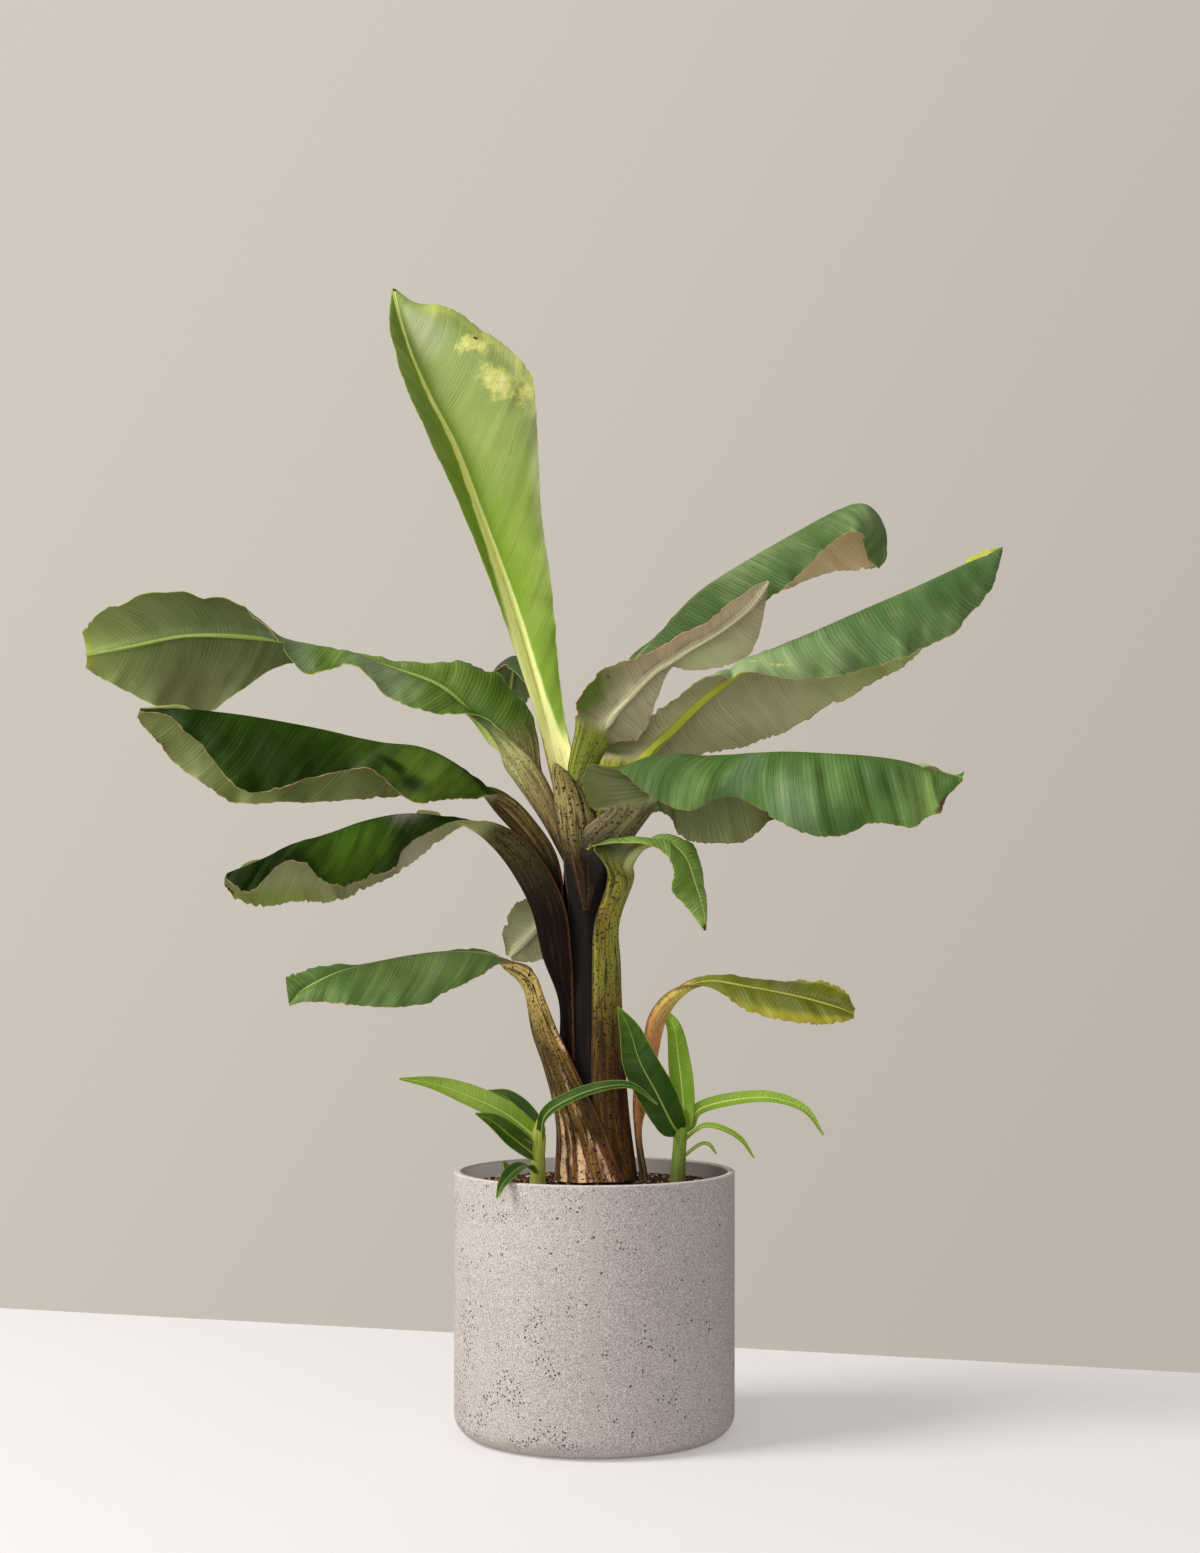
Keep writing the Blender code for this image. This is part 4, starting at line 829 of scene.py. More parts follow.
LEAVES = {
    "leaf_spear": (
        foot(-0.08, 0.1),
        *at((-24, 4, 655, -9, -4, 0, 9, -4, 0), (-38, 3, 715, -11, -5, 0, 16, -8, 0), kind=STALK),
        *at(
            (-58, 0, 784, -10, -6, 0, 23, -10, 5), (-87, 0, 881, -14, -12, 0, 43, -18, 10),
            (-121, 0, 977, -18, -20, 2, 64, -28, 16), (-149, -5, 1052, -26, -28, 6, 88, -30, 30),
            (-176, -10, 1105, -22, -26, 6, 108, -20, 22), (-195, -12, 1148, -16, -28, 4, 90, -10, 20),
            (-205, -14, 1180, -12, -16, 2, 56, -5, 16), (-211, -15, 1205, -6, -5, 0, 20, 0, 2),
        ),
        *at((-214, -15, 1221, -1, -1, 0, 2, 0, 0), kind=TIP),
    ),
    "leaf_upper_left": (
        foot(-0.62, 0.1),
        *at((-50, -6, 656, 14, -9, 6, 10, 12, 4), (-78, -2, 697, 18, -11, 16, 22, 12, 9), kind=STALK),
        *at((-104, 6, 733, 10, -10, 13, 42, 12, 16), kind=(0.0065, 0.5)),
        *at(
            (-129, 14, 766, 4, -12, 2, 47, 14, 30), (-166, 22, 801, -3, -30, -32, 31, 22, 26),
            (-216, 30, 822, -3, -34, -36, 8, 32, 6), (-265, 35, 838, 0, -38, -14, 0, 34, -6),
            (-318, 40, 851, 8, -34, -38, 0, 36, -20), (-362, 45, 858, 0, -36, 14, 3, 34, -36),
            (-442, 50, 860, -2, -28, 44, 0, 30, -90), (-508, 55, 848, -24, -16, 38, -4, 20, -50),
        ),
        *at((-556, 60, 838, -4, -5, 24, -2, 4, -14), kind=TIP),
    ),
    "leaf_middle_left": (
        wrap(0.15, 180, 28, 32, 1), wrap(0.22, 180, 28, 32, 1), wrap(0.29, 180, 28, 32, 1),
        *at(
            (-50, -5, 606, 12, -12, 6, 12, 12, 4), (-72, -10, 636, 12, -13, 14, 12, 11, 10),
            (-100, -14, 667, 8, -12, 14, 10, 11, 14), kind=STALK,
        ),
        *at(
            (-126, -19, 697, 0, -20, -20, 4, 20, -2), (-154, -22, 721, -3, -30, -46, 0, 28, -26),
            (-186, -25, 735, -5, -34, -62, 0, 34, -50), (-233, -30, 740, -5, -36, -34, -10, 32, -62),
            (-290, -35, 753, -5, -35, -56, -16, 30, -78), (-363, -40, 766, 3, -34, -84, -18, 30, -92),
            (-416, -45, 772, 3, -20, -40, -14, 25, -68), (-451, -45, 774, 6, -8, -12, -14, 14, -36),
        ),
        *at((-478, -45, 772, 1, -2, -4, -4, 2, -10), kind=TIP),
    ),
    "leaf_front_left": (
        wrap(0.13, 180, 56, 44, 2), wrap(0.19, 180, 54, 44, 2),
        *at(
            (-52, -3, 510, 28, -26, 0, 16, 22, 0), (-64, -4, 560, 32, -24, 6, 14, 20, 2), kind=SHEATH,
            bow=-0.2,
        ),
        *at((-82, -8, 602, 24, -18, 14, 10, 16, 6), (-105, -14, 632, 14, -16, 14, 6, 13, 4), kind=STALK),
        *at(
            (-137, -26, 653, 3, -16, 2, 2, 14, -4), (-172, -43, 662, -10, -20, -26, 2, 22, -34),
            (-205, -60, 662, -8, -28, -58, 0, 28, -62), (-240, -80, 654, -3, -32, -68, 0, 30, -72),
            (-270, -102, 642, 0, -30, -56, 0, 30, -74), (-302, -125, 630, -5, -30, -20, -2, 28, -62),
            (-340, -150, 612, -6, -20, -34, -5, 22, -48),
        ),
        *at((-368, -170, 597, -1, -3, -6, -3, 4, -14), kind=TIP),
    ),
    "leaf_low_left": (
        wrap(0.002, -115, 62, 58, 3), wrap(0.061, -126, 48, 44, 3),
        *at((-43, -27, 390, 24, -10, 0, -7, 28, 0), kind=SHEATH, bow=-0.16),
        *at((-58, -22, 430, 20, -12, 0, -4, 27, 0), kind=SHEATH, bow=-0.18),
        *at((-67, -18, 463, 15, -13, 2, 2, 23, 2), kind=SHEATH, bow=-0.2),
        *at((-76, -17, 487, 12, -12, 6, 10, 16, 8), (-91, -18, 501, 3, -9, 4, 3, 9, 4), kind=STALK),
        *at(
            (-106, -24, 512, 0, -15, -12, 0, 12, -2), (-132, -38, 517, 0, -22, -32, 0, 28, -8),
            (-172, -60, 517, 3, -30, -53, 0, 34, -34), (-217, -85, 510, 0, -30, -50, 0, 34, -38),
            (-262, -105, 498, 3, -20, -34, -4, 26, 2), (-296, -120, 480, 3, -8, -14, -8, 14, 16),
        ),
        *at((-311, -125, 464, 0, -2, -2, -5, 8, 28), kind=TIP),
    ),
    "leaf_rear_right": (
        foot(0.42, 0.62),
        *at((6, 30, 690, -6, 5, 1, 6, -6, 1), (20, 40, 760, -7, 5, 2, 7, -6, 0), kind=STALK),
        *at(
            (39, 50, 823, -10, 12, 0, 8, -12, -8), (78, 70, 871, -2, 30, -20, 6, -28, -28),
            (117, 90, 914, 0, 42, -40, 18, -38, -50), (184, 110, 959, 0, 46, -50, 18, -44, -52),
            (263, 130, 1004, 0, 46, -62, 6, -42, -34), (301, 140, 1018, 4, 40, -70, 0, -40, -46),
            (325, 145, 1000, -4, 28, -50, -22, -28, -36), (330, 150, 968, -6, 12, -18, -24, -12, -12),
        ),
        *at((322, 150, 945, -1, 2, 0, -2, -2, 0), kind=TIP),
    ),
    "leaf_inner_right": (
        foot(0.05, -0.16),
        *at(
            (-17, -20, 660, 9, 2, 0, -11, 1, 1), (-12, -28, 705, 13, 3, 0, -16, -2, 2),
            (2, -31, 738, 12, 6, -6, -22, -7, 12), kind=STALK,
        ),
        *at(
            (18, -35, 764, 10, 12, -26, -37, -12, 10), (36, -38, 784, 12, 18, -44, -38, -15, 18),
            (61, -48, 810, 0, 20, -40, -20, -14, 14), (78, -53, 821, 2, 12, -8, -12, -12, 10),
            (95, -58, 832, 2, 22, -20, -8, -13, 13), (127, -68, 850, 8, 28, -34, -9, -12, 12),
            (155, -74, 870, 10, 24, -40, -10, -10, 10), (172, -78, 888, 4, 16, -22, -7, -5, 7),
        ),
        *at((181, -80, 901, 0, 2, -2, -1, -1, 1), kind=TIP),
    ),
    "leaf_long_right": (
        foot(0.46, -0.6),
        *at(
            (10, -13, 640, 8, 10, 0, -10, 5, 4), (26, -11, 676, 6, 12, 0, -20, 3, 8),
            (41, -8, 704, 2, 14, -6, -44, -2, 6), kind=STALK,
        ),
        *at(
            (61, -1, 729, -4, 18, -18, -58, -8, 6), (86, 5, 755, -6, 22, -36, -30, -22, 10),
            (116, 10, 785, -3, 28, -58, -30, -28, -1), (151, 13, 813, 10, 30, -76, -18, -44, -3),
            (199, 16, 842, 0, 30, -93, -30, -42, -34), (247, 19, 866, -8, 26, -94, -18, -40, -62),
            (295, 22, 888, -5, 25, -90, -5, -35, -72), (343, 25, 909, -3, 22, -82, -5, -30, -76),
            (386, 28, 929, -8, 20, -58, -3, -25, -74), (420, 30, 945, 4, 12, -36, 4, -12, -44),
        ),
        *at((442, 32, 953, 0, 2, -6, 0, -2, -6), kind=TIP),
    ),
    "leaf_front_right": (
        wrap(0.06, -92, 46, 46, 1), wrap(0.13, -92, 50, 50, 1), wrap(0.22, -90, 50, 52, 1),
        wrap(0.29, -84, 44, 52, 1),
        *at(
            (12, -38, 612, 12, 12, 0, -44, 4, 4), (28, -41, 636, 10, 14, -2, -44, -1, 6), kind=STALK,
            bow=(-0.2, -0.12),
        ),
        *at((49, -42, 664, 6, 14, -6, -40, -6, -2), kind=STALK, bow=(-0.2, -0.1)),
        *at(
            (70, -43, 686, 0, 18, -22, -70, -10, -18), (90, -44, 702, -8, 24, -52, -102, -14, -6),
            (110, -45, 715, -10, 28, -82, -90, -24, -6), (130, -46, 722, -8, 30, -92, -78, -34, -40),
            (150, -48, 725, 0, 30, -94, -56, -32, -62), (175, -50, 727, 0, 30, -84, -32, -28, -50),
            (204, -52, 728, 0, 30, -70, -14, -28, -74), (245, -56, 726, 4, 30, -86, -2, -30, -92),
            (287, -60, 723, 0, 30, -62, 4, -30, -74), (325, -65, 717, 0, 24, -45, 5, -24, -72),
            (355, -68, 707, 0, 12, -20, -4, -12, -44),
        ),
        *at((384, -70, 698, 2, 3, 6, 0, -2, -4), kind=TIP),
    ),
    "leaf_curled_right": (
        wrap(0.002, -20, 58, 68, 2), wrap(0.09, -15, 55, 78, 2), wrap(0.18, -10, 52, 78, 2),
        wrap(0.23, -10, 50, 74, 2), wrap(0.275, -10, 46, 66, 2),
        *at((34, -20, 592, 0, 20, 4, -20, -28, 4), kind=STALK),
        *at((36, -50, 611, 6, 10, 0, -38, -16, 12), kind=(0.0065, 0.3)),
        *at(
            (52, -60, 627, 4, 10, 4, -58, -18, 2), (75, -64, 632, 3, 18, 6, -14, -22, -8),
            (96, -68, 615, 10, 18, 10, -15, -18, -12), (107, -68, 586, 7, 18, 4, -26, -12, -6),
            (114, -66, 560, 4, 10, 0, -14, -6, -2),
        ),
        *at((116, -64, 538, 1, 2, 0, -2, -1, 0), kind=TIP),
    ),
    "leaf_low_right": (
        wrap(0.002, -8, 18, 20, 4), wrap(0.05, -10, 16, 17, 4),
        *at(
            (49, -13, 362, 8, 8, 0, -8, -8, 0), (58, -20, 404, 6, 6, 0, -8, -6, 0),
            (67, -28, 445, 6, 7, -2, -8, -6, 5), (90, -40, 474, -3, 9, 2, -4, -8, 4), kind=STALK,
        ),
        *at(
            (120, -50, 485, 0, 14, 6, 0, -12, -6), (165, -64, 480, 4, 26, 6, -4, -20, -26),
            (212, -78, 471, 6, 28, 14, 0, -22, -28), (248, -90, 461, 6, 20, 18, 0, -14, -18),
        ),
        *at((268, -96, 452, 2, 6, 6, 0, -4, -4), kind=TIP),
    ),
    "leaf_rear": (
        foot(-0.16, 0.86),
        *at((-24, 38, 680, -7, -2, 0, 7, 1, 0), (-40, 66, 750, -8, -3, 0, 8, 2, 0), kind=STALK),
        *at(
            (-60, 105, 810, -16, -4, -2, 16, 4, -2), (-80, 155, 845, -22, -4, -10, 22, 4, -10),
            (-92, 210, 848, -24, -4, -20, 24, 4, -20), (-100, 262, 820, -20, -4, -16, 20, 4, -16),
        ),
        *at((-104, 300, 775, -2, 0, 0, 2, 0, 0), kind=TIP),
    ),
    "leaf_low_rear": (
        wrap(0.12, 105, 24, 24, 1), wrap(0.215, 105, 22, 22, 1),
        *at((-12, 42, 538, -12, -3, 0, 12, -3, 0), (-22, 60, 566, -13, -6, 3, 10, -4, 0), kind=STALK),
        *at(
            (-42, 73, 562, -24, 0, 10, 10, 2, -14), (-64, 77, 539, -25, -4, 26, 18, 4, -26),
            (-82, 76, 520, -18, -3, 18, 13, 3, -18),
        ),
        *at((-93, 74, 507, -5, 0, 3, 3, 0, -4), kind=TIP),
    ),
}

for place, (node, stations) in enumerate(LEAVES.items()):
    look = {**COMMON, "seed": 3 + 17 * place, **LOOKS[node]}
    grow(node + "_grown", [node], look["slot"], stations, look)

# ---- side shoots

PUP_COMMON = dict(
    streak=0.3, dust=0.08, rib_width=0.0015, ruling=0.25, wave=0.0008, frill=0.0003, pleat=0.0002,
    ragged=0.0004, wear=0.0006, glow=0.3, through=rgb(170, 210, 50), margin=rgb(150, 160, 60), speck=0.0,
    smear=0.0, streak_and_gloss=0.0, stalk=rgb(170, 190, 70), foot=rgb(170, 180, 80), foot_top=0.2, foot_end=0.1,
    base_share=0.0,
)
PUP_LIGHT = dict(
    slot="pup_leaf", upper=face((128, 172, 36), (204, 222, 110), (226, 232, 140)),
    under=face((160, 190, 80), (214, 226, 130), (228, 232, 150)),
)
PUP_MID = dict(
    slot="pup_leaf", upper=face((40, 76, 14), (100, 134, 50), (160, 180, 90)),
    under=face((120, 150, 54), (168, 190, 92), (200, 210, 110)),
)
PUP_DARK = dict(
    slot="pup_leaf_dark", upper=face((34, 70, 6), (98, 130, 34), (170, 192, 80)),
    under=face((84, 112, 36), (140, 160, 76), (176, 190, 90)),
)

# Each leaf: its midrib's points and its half width in millimetres, the lift of its halves in radians, the
# side that faces up, and its look.
PUP_LEAVES = {
    "left_pup_leaf_long": (
        ((-66, -32, 322), (-94, -40, 345), (-132, -48, 364), (-168, -54, 377), (-204, -60, 383)), 13.5, 0.3,
        (0, -0.85, 0.5), PUP_LIGHT,
    ),
    "left_pup_leaf_behind": (
        ((-62, -20, 324), (-78, -12, 345), (-96, -4, 360), (-114, 2, 366)), 12.5, 0.3, (0, -0.8, 0.6),
        PUP_DARK,
    ),
    "left_pup_leaf_low": (
        ((-71, -37, 307), (-88, -50, 322), (-106, -58, 338), (-124, -64, 347)), 12.5, 0.3, (0, -0.85, 0.5),
        PUP_DARK,
    ),
    "left_pup_leaf_across": (
        ((-56, -36, 324), (-52, -50, 343), (-34, -60, 358), (2, -66, 373), (38, -68, 376), (66, -68, 357)),
        8.5, 0.3, (0, -0.7, 0.7), PUP_MID,
    ),
    "left_pup_leaf_rim": (
        (
            (-68, -44, 289), (-75, -75, 293), (-82, -105, 291), (-88, -122, 286.5), (-94, -131, 279),
            (-99, -135, 267),
        ),
        9, 0.3, (0, -0.5, 0.86), PUP_MID,
    ),
    "left_pup_leaf_tiny": (
        ((-88, -34, 275), (-91, -34, 285), (-96, -34, 294)), 4, 0.2, (0.3, -0.9, 0.2), PUP_DARK,
    ),
    "right_pup_leaf_upright": (
        ((95, -18, 333), (94, -16, 360), (90, -14, 398), (84, -14, 436), (67, -14, 459)), 14, 0.45,
        (0, -1, 0.1), PUP_LIGHT,
    ),
    "right_pup_leaf_broad": (
        ((83, -32, 332), (66, -44, 366), (48, -52, 400), (37, -56, 434), (25, -58, 458)), 20.5, 0.2,
        (0, -1, 0.1), PUP_DARK,
    ),
    "right_pup_leaf_arching": (
        (
            (103, -18, 332), (112, -22, 348), (146, -28, 358), (187, -34, 361), (222, -38, 349),
            (242, -40, 322),
        ),
        8.5, 0.3, (0, -0.75, 0.66), PUP_LIGHT,
    ),
    "right_pup_leaf_low": (
        ((102, -30, 322), (116, -36, 331), (134, -42, 329), (154, -46, 318), (168, -50, 299)), 5.5, 0.3,
        (0, -0.4, 0.9), PUP_LIGHT,
    ),
    "right_pup_leaf_tiny": (
        ((104, -26, 306), (114, -30, 312), (122, -34, 311), (129, -36, 302)), 3.5, 0.2, (0, -0.4, 0.9),
        PUP_LIGHT,
    ),
}


def pup_leaf(node, ribs, width, lift, up, kind, seed):
    """A narrow blade along its rib points, with its halves lifted by this angle into a shallow V. It starts
    inside its stem's top, but the tiny leaf of the left pup stands in the soil."""
    ribs = [[number / 1000 for number in rib] for rib in ribs]
    if node != "left_pup_leaf_tiny":
        x, y, height, lean = PUP_STEMS[node.split("_")[0]]
        ribs.insert(0, [x + lean, y, min(ribs[0][2] - PUP_JOIN, SOIL_TOP + height - 0.002)])
    ribs = np.array(ribs, float)
    stations = []
    for i, (rib, tangent) in enumerate(zip(ribs, np.gradient(ribs, axis=0))):
        t = i / (len(ribs) - 1)
        swell = math.sin(math.pi * min(t * 1.06 + 0.02, 1.0)) ** 0.8
        half = PUP_RIB + (width / 1000 - PUP_RIB) * swell if t < 1 else 0.0008
        tangent = unit(tangent)
        left = unit(np.cross(up, tangent))
        top = np.cross(tangent, left)
        edges = [half * (side * left * math.cos(lift) + top * math.sin(lift)) for side in (1, -1)]
        stations.append((*rib, *edges[0], *edges[1], -0.08, -0.08, PUP_RIB * (1 - 0.6 * t), 0.0))
    look = {**COMMON, **PUP_COMMON, **kind, "seed": seed}
    return grow(node + "_grown", [node], look["slot"], stations, look, half_columns=12)


for place, (node, values) in enumerate(PUP_LEAVES.items()):
    pup_leaf(node, *values, seed=301 + 13 * place)


def stem_material(name, high, low, speck):
    """A pup's stem: green with lengthwise fibres, paler below, with dark specks."""
    n = Nodes(name)
    around, height = n.attribute("share"), n.axes()[2]
    fibre = n.noise(n.vector(n.times(around, 18.0), n.times(height, 30.0), 2.0), 1.0, 3.0, 0.6)
    colour = n.over(low, high, height, SOIL_TOP, SOIL_TOP + 0.05)
    colour = n.over(colour, rgb(70, 92, 26), fibre, 0.45, 0.7, 0.5)
    colour = n.over(colour, rgb(60, 40, 24), n.noise(n.place(), 420.0, 3.0, 0.6), 0.60, 0.68, speck)
    return n.finish(colour, 0.5, n.bump(fibre, 0.0008, 0.8))


def soil_height(radius):
    """The soil's surface at this distance from the pot's axis, a low mound."""
    share = np.minimum(radius / (POT_RADIUS - POT_WALL), 1.0)
    return SOIL_TOP - SOIL_MOUND * (1 - np.cos(math.pi * np.maximum(share - 0.35, 0) / 0.65)) / 2


def stem(node, slot, rings, sides, material, wrinkle, seed):
    """A stem through rings of (x, y, z, radius, depth), with ridges along it."""
    rows = through(rings, 8)
    turns = np.linspace(0, math.tau, sides, endpoint=False)
    ridge = 1 + wrinkle * ripple(turns[None, :] + 0.9 * rows[:, 2:3], 0.7, seed)
    x, y, z, radius, depth = (rows[:, k : k + 1] for k in range(5))
    radius = radius * ridge
    around = x + radius * np.cos(turns), y + radius * depth * np.sin(turns), z + 0 * radius
    points = np.stack(around, axis=-1)
    ends = [points[0].mean(axis=0), points[-1].mean(axis=0) + np.array((0, 0, 0.0010))]
    share = np.concatenate([np.tile(np.abs(turns - math.pi) / math.pi, len(rows)), [0.5, 0.5]])
    return keep(capped(node + "_grown", points, ends, material, share), slot, node)


def front_sheath():
    """The short dry sheath that clasps the foot of the stalks in front and ends below in a dark point."""
    stations = (
        *at(
            (-8, -30, 560, 1, 1, 0, -1, 1, 0), (-9, -36, 590, 14, 12, 0, -14, 10, 0),
            (-16, -43, 630, 24, 18, 0, -20, 14, 0), (-20, -44, 660, 22, 18, -4, -20, 14, 3),
            (-26, -40, 684, 18, 14, -10, -18, 12, 10), (-34, -34, 704, 10, 8, -8, -10, 6, 8), kind=SHEATH,
            bow=-0.2,
        ),
        *at((-40, -30, 714, 1, 1, -1, -1, 1, 1), kind=(0.0016, 1.0)),
    )
    own = dict(
        seed=77, upper=face((120, 116, 60), (150, 150, 84), (150, 150, 84)),
        under=face((120, 116, 60), (150, 150, 84), (150, 150, 84)), stalk=rgb(136, 128, 76),
        stalk_dark=rgb(104, 74, 50), foot=rgb(34, 20, 11), foot_top=0.665, foot_end=0.6, gloom=0.6,
        sheath_edge=rgb(84, 50, 26), speck=1.0, smear=0.9, smear_colour=rgb(58, 38, 28), shine=0.1,
    )
    look = {**COMMON, **own}
    return grow("front_sheath", [], "trunk", stations, look, half_columns=14)


front_sheath()

trunk_rings = [
    (x, 0.0, SOIL_TOP + GAP + height, STEM_RADIUS * share, STEM_DEPTH) for height, x, share in STEM_RINGS
]
stem("pseudostem", "trunk", trunk_rings, 96, trunk_material(), 0.018, 5)

for side, *colours in (
    ("left", rgb(170, 178, 66), rgb(150, 150, 60), 0.2),
    ("right", rgb(132, 158, 58), rgb(96, 104, 40), 0.9),
):
    node = side + "_pup_stem"
    x, y, height, lean = PUP_STEMS[side]
    base = soil_height(math.hypot(x, y) - max(PUP_SWELLS) * PUP_STEM_RADIUS) + GAP
    rings = []
    for i, swell in enumerate(PUP_SWELLS):
        t = i / (len(PUP_SWELLS) - 1)
        rings.append((x + lean * t, y, base + (SOIL_TOP + height - base) * t, PUP_STEM_RADIUS * swell, 0.85))
    for rise, swell in ((0.006, 0.90), (0.013, 0.62), (0.020, 0.30)):
        rings.append((x + lean, y, SOIL_TOP + height + rise, PUP_STEM_RADIUS * swell, 0.85))
    stem(node, "pup_stem", rings, 48, stem_material(node + "_skin", *colours), 0.03, int(100 * height))

# ---- pot and soil


def turned(name, profile, sides, material):
    """A solid turned round Z from a profile that starts and ends on the axis."""
    turns = np.linspace(0, math.tau, sides, endpoint=False)
    rings = np.array(profile[1:-1])
    around = rings[:, :1] * np.cos(turns), rings[:, :1] * np.sin(turns), rings[:, 1:] + 0 * turns
    ends = [(0.0, 0.0, profile[0][1]), (0.0, 0.0, profile[-1][1])]
    return capped(name, np.stack(around, axis=-1), ends, material, smooth=60.0)


inner = POT_RADIUS - POT_WALL
inner_foot = POT_FOOT_RADIUS - POT_WALL
wall_height = POT_HEIGHT - POT_FOOT_RADIUS - RIM_ROUND
pot_profile = (
    [(0.0, 0.0), (POT_RADIUS * 0.5, 0.0)]
    + arc((POT_RADIUS - POT_FOOT_RADIUS, POT_FOOT_RADIUS), POT_FOOT_RADIUS, -90, 0, 20)
    + [(POT_RADIUS, POT_FOOT_RADIUS + share * wall_height) for share in (0.3, 0.6)]
    + arc((POT_RADIUS - RIM_ROUND, POT_HEIGHT - RIM_ROUND), RIM_ROUND, 0, 90, 6)
    + arc((inner + RIM_ROUND, POT_HEIGHT - RIM_ROUND), RIM_ROUND, 90, 180, 6)
    + [(inner, POT_HEIGHT * 0.5)]
    + arc((inner - inner_foot, POT_FLOOR + inner_foot), inner_foot, 0, -90, 8)
    + [(0.0, POT_FLOOR)]
)
keep(turned("pot_cast", pot_profile, POT_SIDES, stone_material()), "stone", "pot")


def soil():
    """The soil's crumbly surface over a plain solid that fills the pot."""
    turns = np.linspace(0, math.tau, SOIL_SIDES, endpoint=False)
    radii = SOIL_RADIUS * (1 - np.linspace(0, 1, SOIL_RINGS) ** 0.9)[:-1]
    x = radii[:, None] * np.cos(turns)
    y = radii[:, None] * np.sin(turns)
    z = soil_height(radii)[:, None] + 0 * x
    rough = 0.0016 * ripple(x + 0.3 * y, 0.041, 11) + 0.0014 * ripple(y - 0.4 * x, 0.029, 12)
    rough = rough * 0.5 + 0.0008 * ripple(x + y, 0.011, 13) * ripple(x - y, 0.013, 14)
    clear = ease(radii, 0.0, 0.05) * ease(-radii, -SOIL_RADIUS - 0.001, -SOIL_RADIUS + 0.006)
    top = np.stack([x, y, z + (rough - 0.0010) * np.maximum(clear, 0.25)[:, None]], axis=-1)
    low = POT_FLOOR + 0.0004
    walls = [
        np.stack([reach * np.cos(turns), reach * np.sin(turns), np.full(SOIL_SIDES, low + rise)], axis=-1)
        for reach, rise in ((SOIL_RADIUS - 0.0165, 0.0), (SOIL_RADIUS - 0.004, 0.006), (SOIL_RADIUS, 0.0165))
    ]
    rings = np.concatenate([walls, top])
    ends = [(0.0, 0.0, low), (0.0, 0.0, SOIL_TOP)]
    item = capped("soil_surface", rings, ends, soil_material("soil_earth", False))
    return keep(item, "soil", "soil")


def soil_bits(count=900, seed=21):
    """Bark chips, crumbs and a few pale grains, lying on the soil clear of the stems."""
    rng = np.random.RandomState(seed)
    corner = np.array([(a, b, c) for a in (-1, 1) for b in (-1, 1) for c in (-1, 1)], float)
    quads = np.array([(0, 1, 3, 2), (4, 6, 7, 5), (0, 4, 5, 1), (2, 3, 7, 6), (0, 2, 6, 4), (1, 5, 7, 3)])
    points, faces, tones = [], [], []
    while len(points) < count:
        radius, turn = (SOIL_RADIUS - 0.006) * math.sqrt(rng.uniform(0.02, 1)), rng.uniform(0, math.tau)
        x, y = radius * math.cos(turn), radius * math.sin(turn)
        size = np.array((rng.uniform(0.8, 3.4), rng.uniform(0.6, 1.9), rng.uniform(0.4, 1.1))) / 1000
        clear = math.hypot(x - STEM_RINGS[0][1], y) > TRUNK_CLEAR
        for px, py, *_ in PUP_STEMS.values():
            clear = clear and math.hypot(x - px, y - py) > PUP_CLEAR
        shape = corner * size * rng.uniform(0.65, 1.15, corner.shape)
        spin, tilt = rng.uniform(0, math.tau), rng.normal(0, 0.25)
        turned_x = shape[:, 0] * math.cos(spin) - shape[:, 1] * math.sin(spin)
        turned_y = shape[:, 0] * math.sin(spin) + shape[:, 1] * math.cos(spin)
        lift = shape[:, 2] + tilt * shape[:, 0]
        tone = rng.uniform(0, 1)
        if not clear:
            continue
        z = soil_height(radius) + size[2] * 0.6
        faces.append(quads + 8 * len(points))
        points.append(np.stack([x + turned_x, y + turned_y, z + lift], axis=1))
        tones.append(np.full(8, tone))
    material, fields = soil_material("soil_bark", True), {"tone": np.concatenate(tones)}
    item = piece("soil_bits", np.vstack(points), [np.vstack(faces)], [material], None, fields, 20.0)
    return keep(item, "soil")


soil()
soil_bits()

# ---- studio

FLOOR_EDGE = (Vector((-0.832, 0.813, 0.0)), Vector((0.729, 0.334, 0.0)))
FLOOR_REACH = 9.0
WALL_AWAY, WALL_REACH = 7.5, 14.0
CAMERA_PLACE = (0.006, -2.67, 0.57)
CAMERA_LENS, CAMERA_SHIFT = 57.8, 0.0795


def quad(name, corners, material):
    mesh = bpy.data.meshes.new(name)
    mesh.from_pydata([tuple(corner) for corner in corners], [], [range(4)])
    mesh.materials.append(material)
    item = bpy.data.objects.new(name, mesh)
    bpy.context.scene.collection.objects.link(item)
    return item


edge_way = (FLOOR_EDGE[1] - FLOOR_EDGE[0]).normalized()
left_end, right_end = (FLOOR_EDGE[0] + edge_way * reach for reach in (-FLOOR_REACH, FLOOR_REACH))
front = Vector((0.0, -FLOOR_REACH, 0.0))


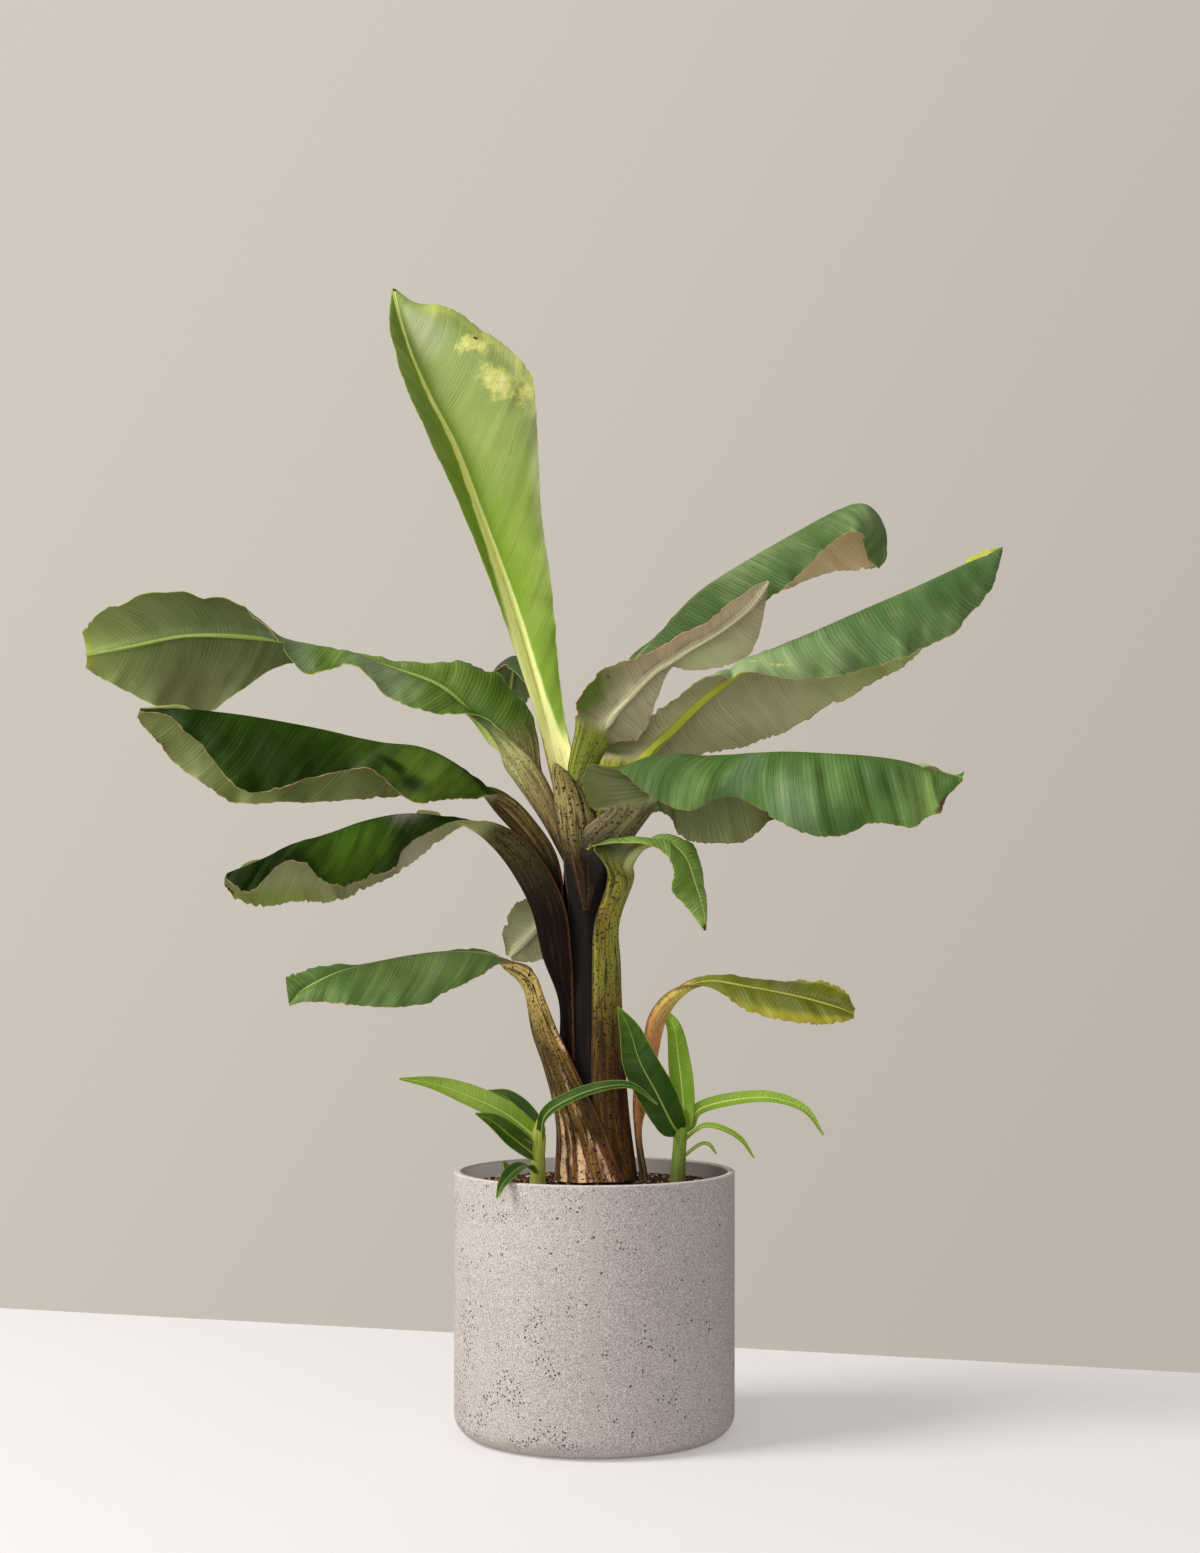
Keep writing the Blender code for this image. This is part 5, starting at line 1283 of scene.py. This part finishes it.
def floor_material():
    """Pale matt paint with a little light of its own, which keeps the shadow soft."""
    n = Nodes("floor_paint")
    paint = n.over(rgb(186, 184, 185), rgb(188, 186, 187), n.noise(n.place(), 1.3, 2.0), 0.2, 0.8)
    n.shader.inputs["Emission Color"].default_value = rgb(236, 230, 228)
    n.shader.inputs["Emission Strength"].default_value = 0.34
    return n.finish(paint, 0.9, shine=0.1)


quad("floor", (left_end + front, right_end + front, right_end, left_end), floor_material())


def backdrop():
    """A plain wall, far enough behind that every view of the plant is taken from in front of it."""
    n = Nodes("backdrop_paint")
    x, _, z = n.axes()
    # painted light and shade: the wall glows lighter towards the upper left and darker towards the lower
    # right
    shade = n.over(rgb(209, 202, 191), rgb(188, 180, 169), n.plus(x, n.times(z, -0.6)), -5.0, 3.4)
    glow = n.add("ShaderNodeEmission", shade)
    n.put(n.output.inputs["Surface"], glow.outputs[0])
    corners = [(x * WALL_REACH, WALL_AWAY, z * WALL_REACH) for x, z in ((-1, -1), (1, -1), (1, 1), (-1, 1))]
    return quad("backdrop", corners, n.material)


backdrop()


def lamp(name, place, target, size, power, colour):
    data = bpy.data.lights.new(name, "AREA")
    data.shape = "DISK"
    data.size = size
    data.energy = power
    data.color = colour
    item = bpy.data.objects.new(name, data)
    bpy.context.scene.collection.objects.link(item)
    item.location = place
    item.rotation_euler = (Vector(target) - Vector(place)).to_track_quat("-Z", "Y").to_euler()
    return item


lamp("key_light", (-4.1, -1.6, 3.7), (0.0, 0.0, 0.45), 2.8, 350.0, (1.0, 0.985, 0.96))
lamp("front_light", (-0.6, -4.2, 1.8), (0.0, 0.0, 0.6), 2.4, 46.0, (1.0, 0.99, 0.98))

world = bpy.data.worlds.new("studio_air")
world.use_nodes = True
world.node_tree.nodes["Background"].inputs["Color"].default_value = (0.90, 0.88, 0.86, 1.0)
world.node_tree.nodes["Background"].inputs["Strength"].default_value = 0.46
bpy.context.scene.world = world
bpy.context.scene.view_settings.view_transform = "Standard"

camera = bpy.data.objects.new("camera", bpy.data.cameras.new("camera"))
bpy.context.scene.collection.objects.link(camera)
camera.location = CAMERA_PLACE
camera.rotation_euler = (math.radians(90), 0, 0)
camera.data.sensor_width = 36.0
camera.data.lens = CAMERA_LENS
camera.data.shift_y = CAMERA_SHIFT
bpy.context.scene.camera = camera
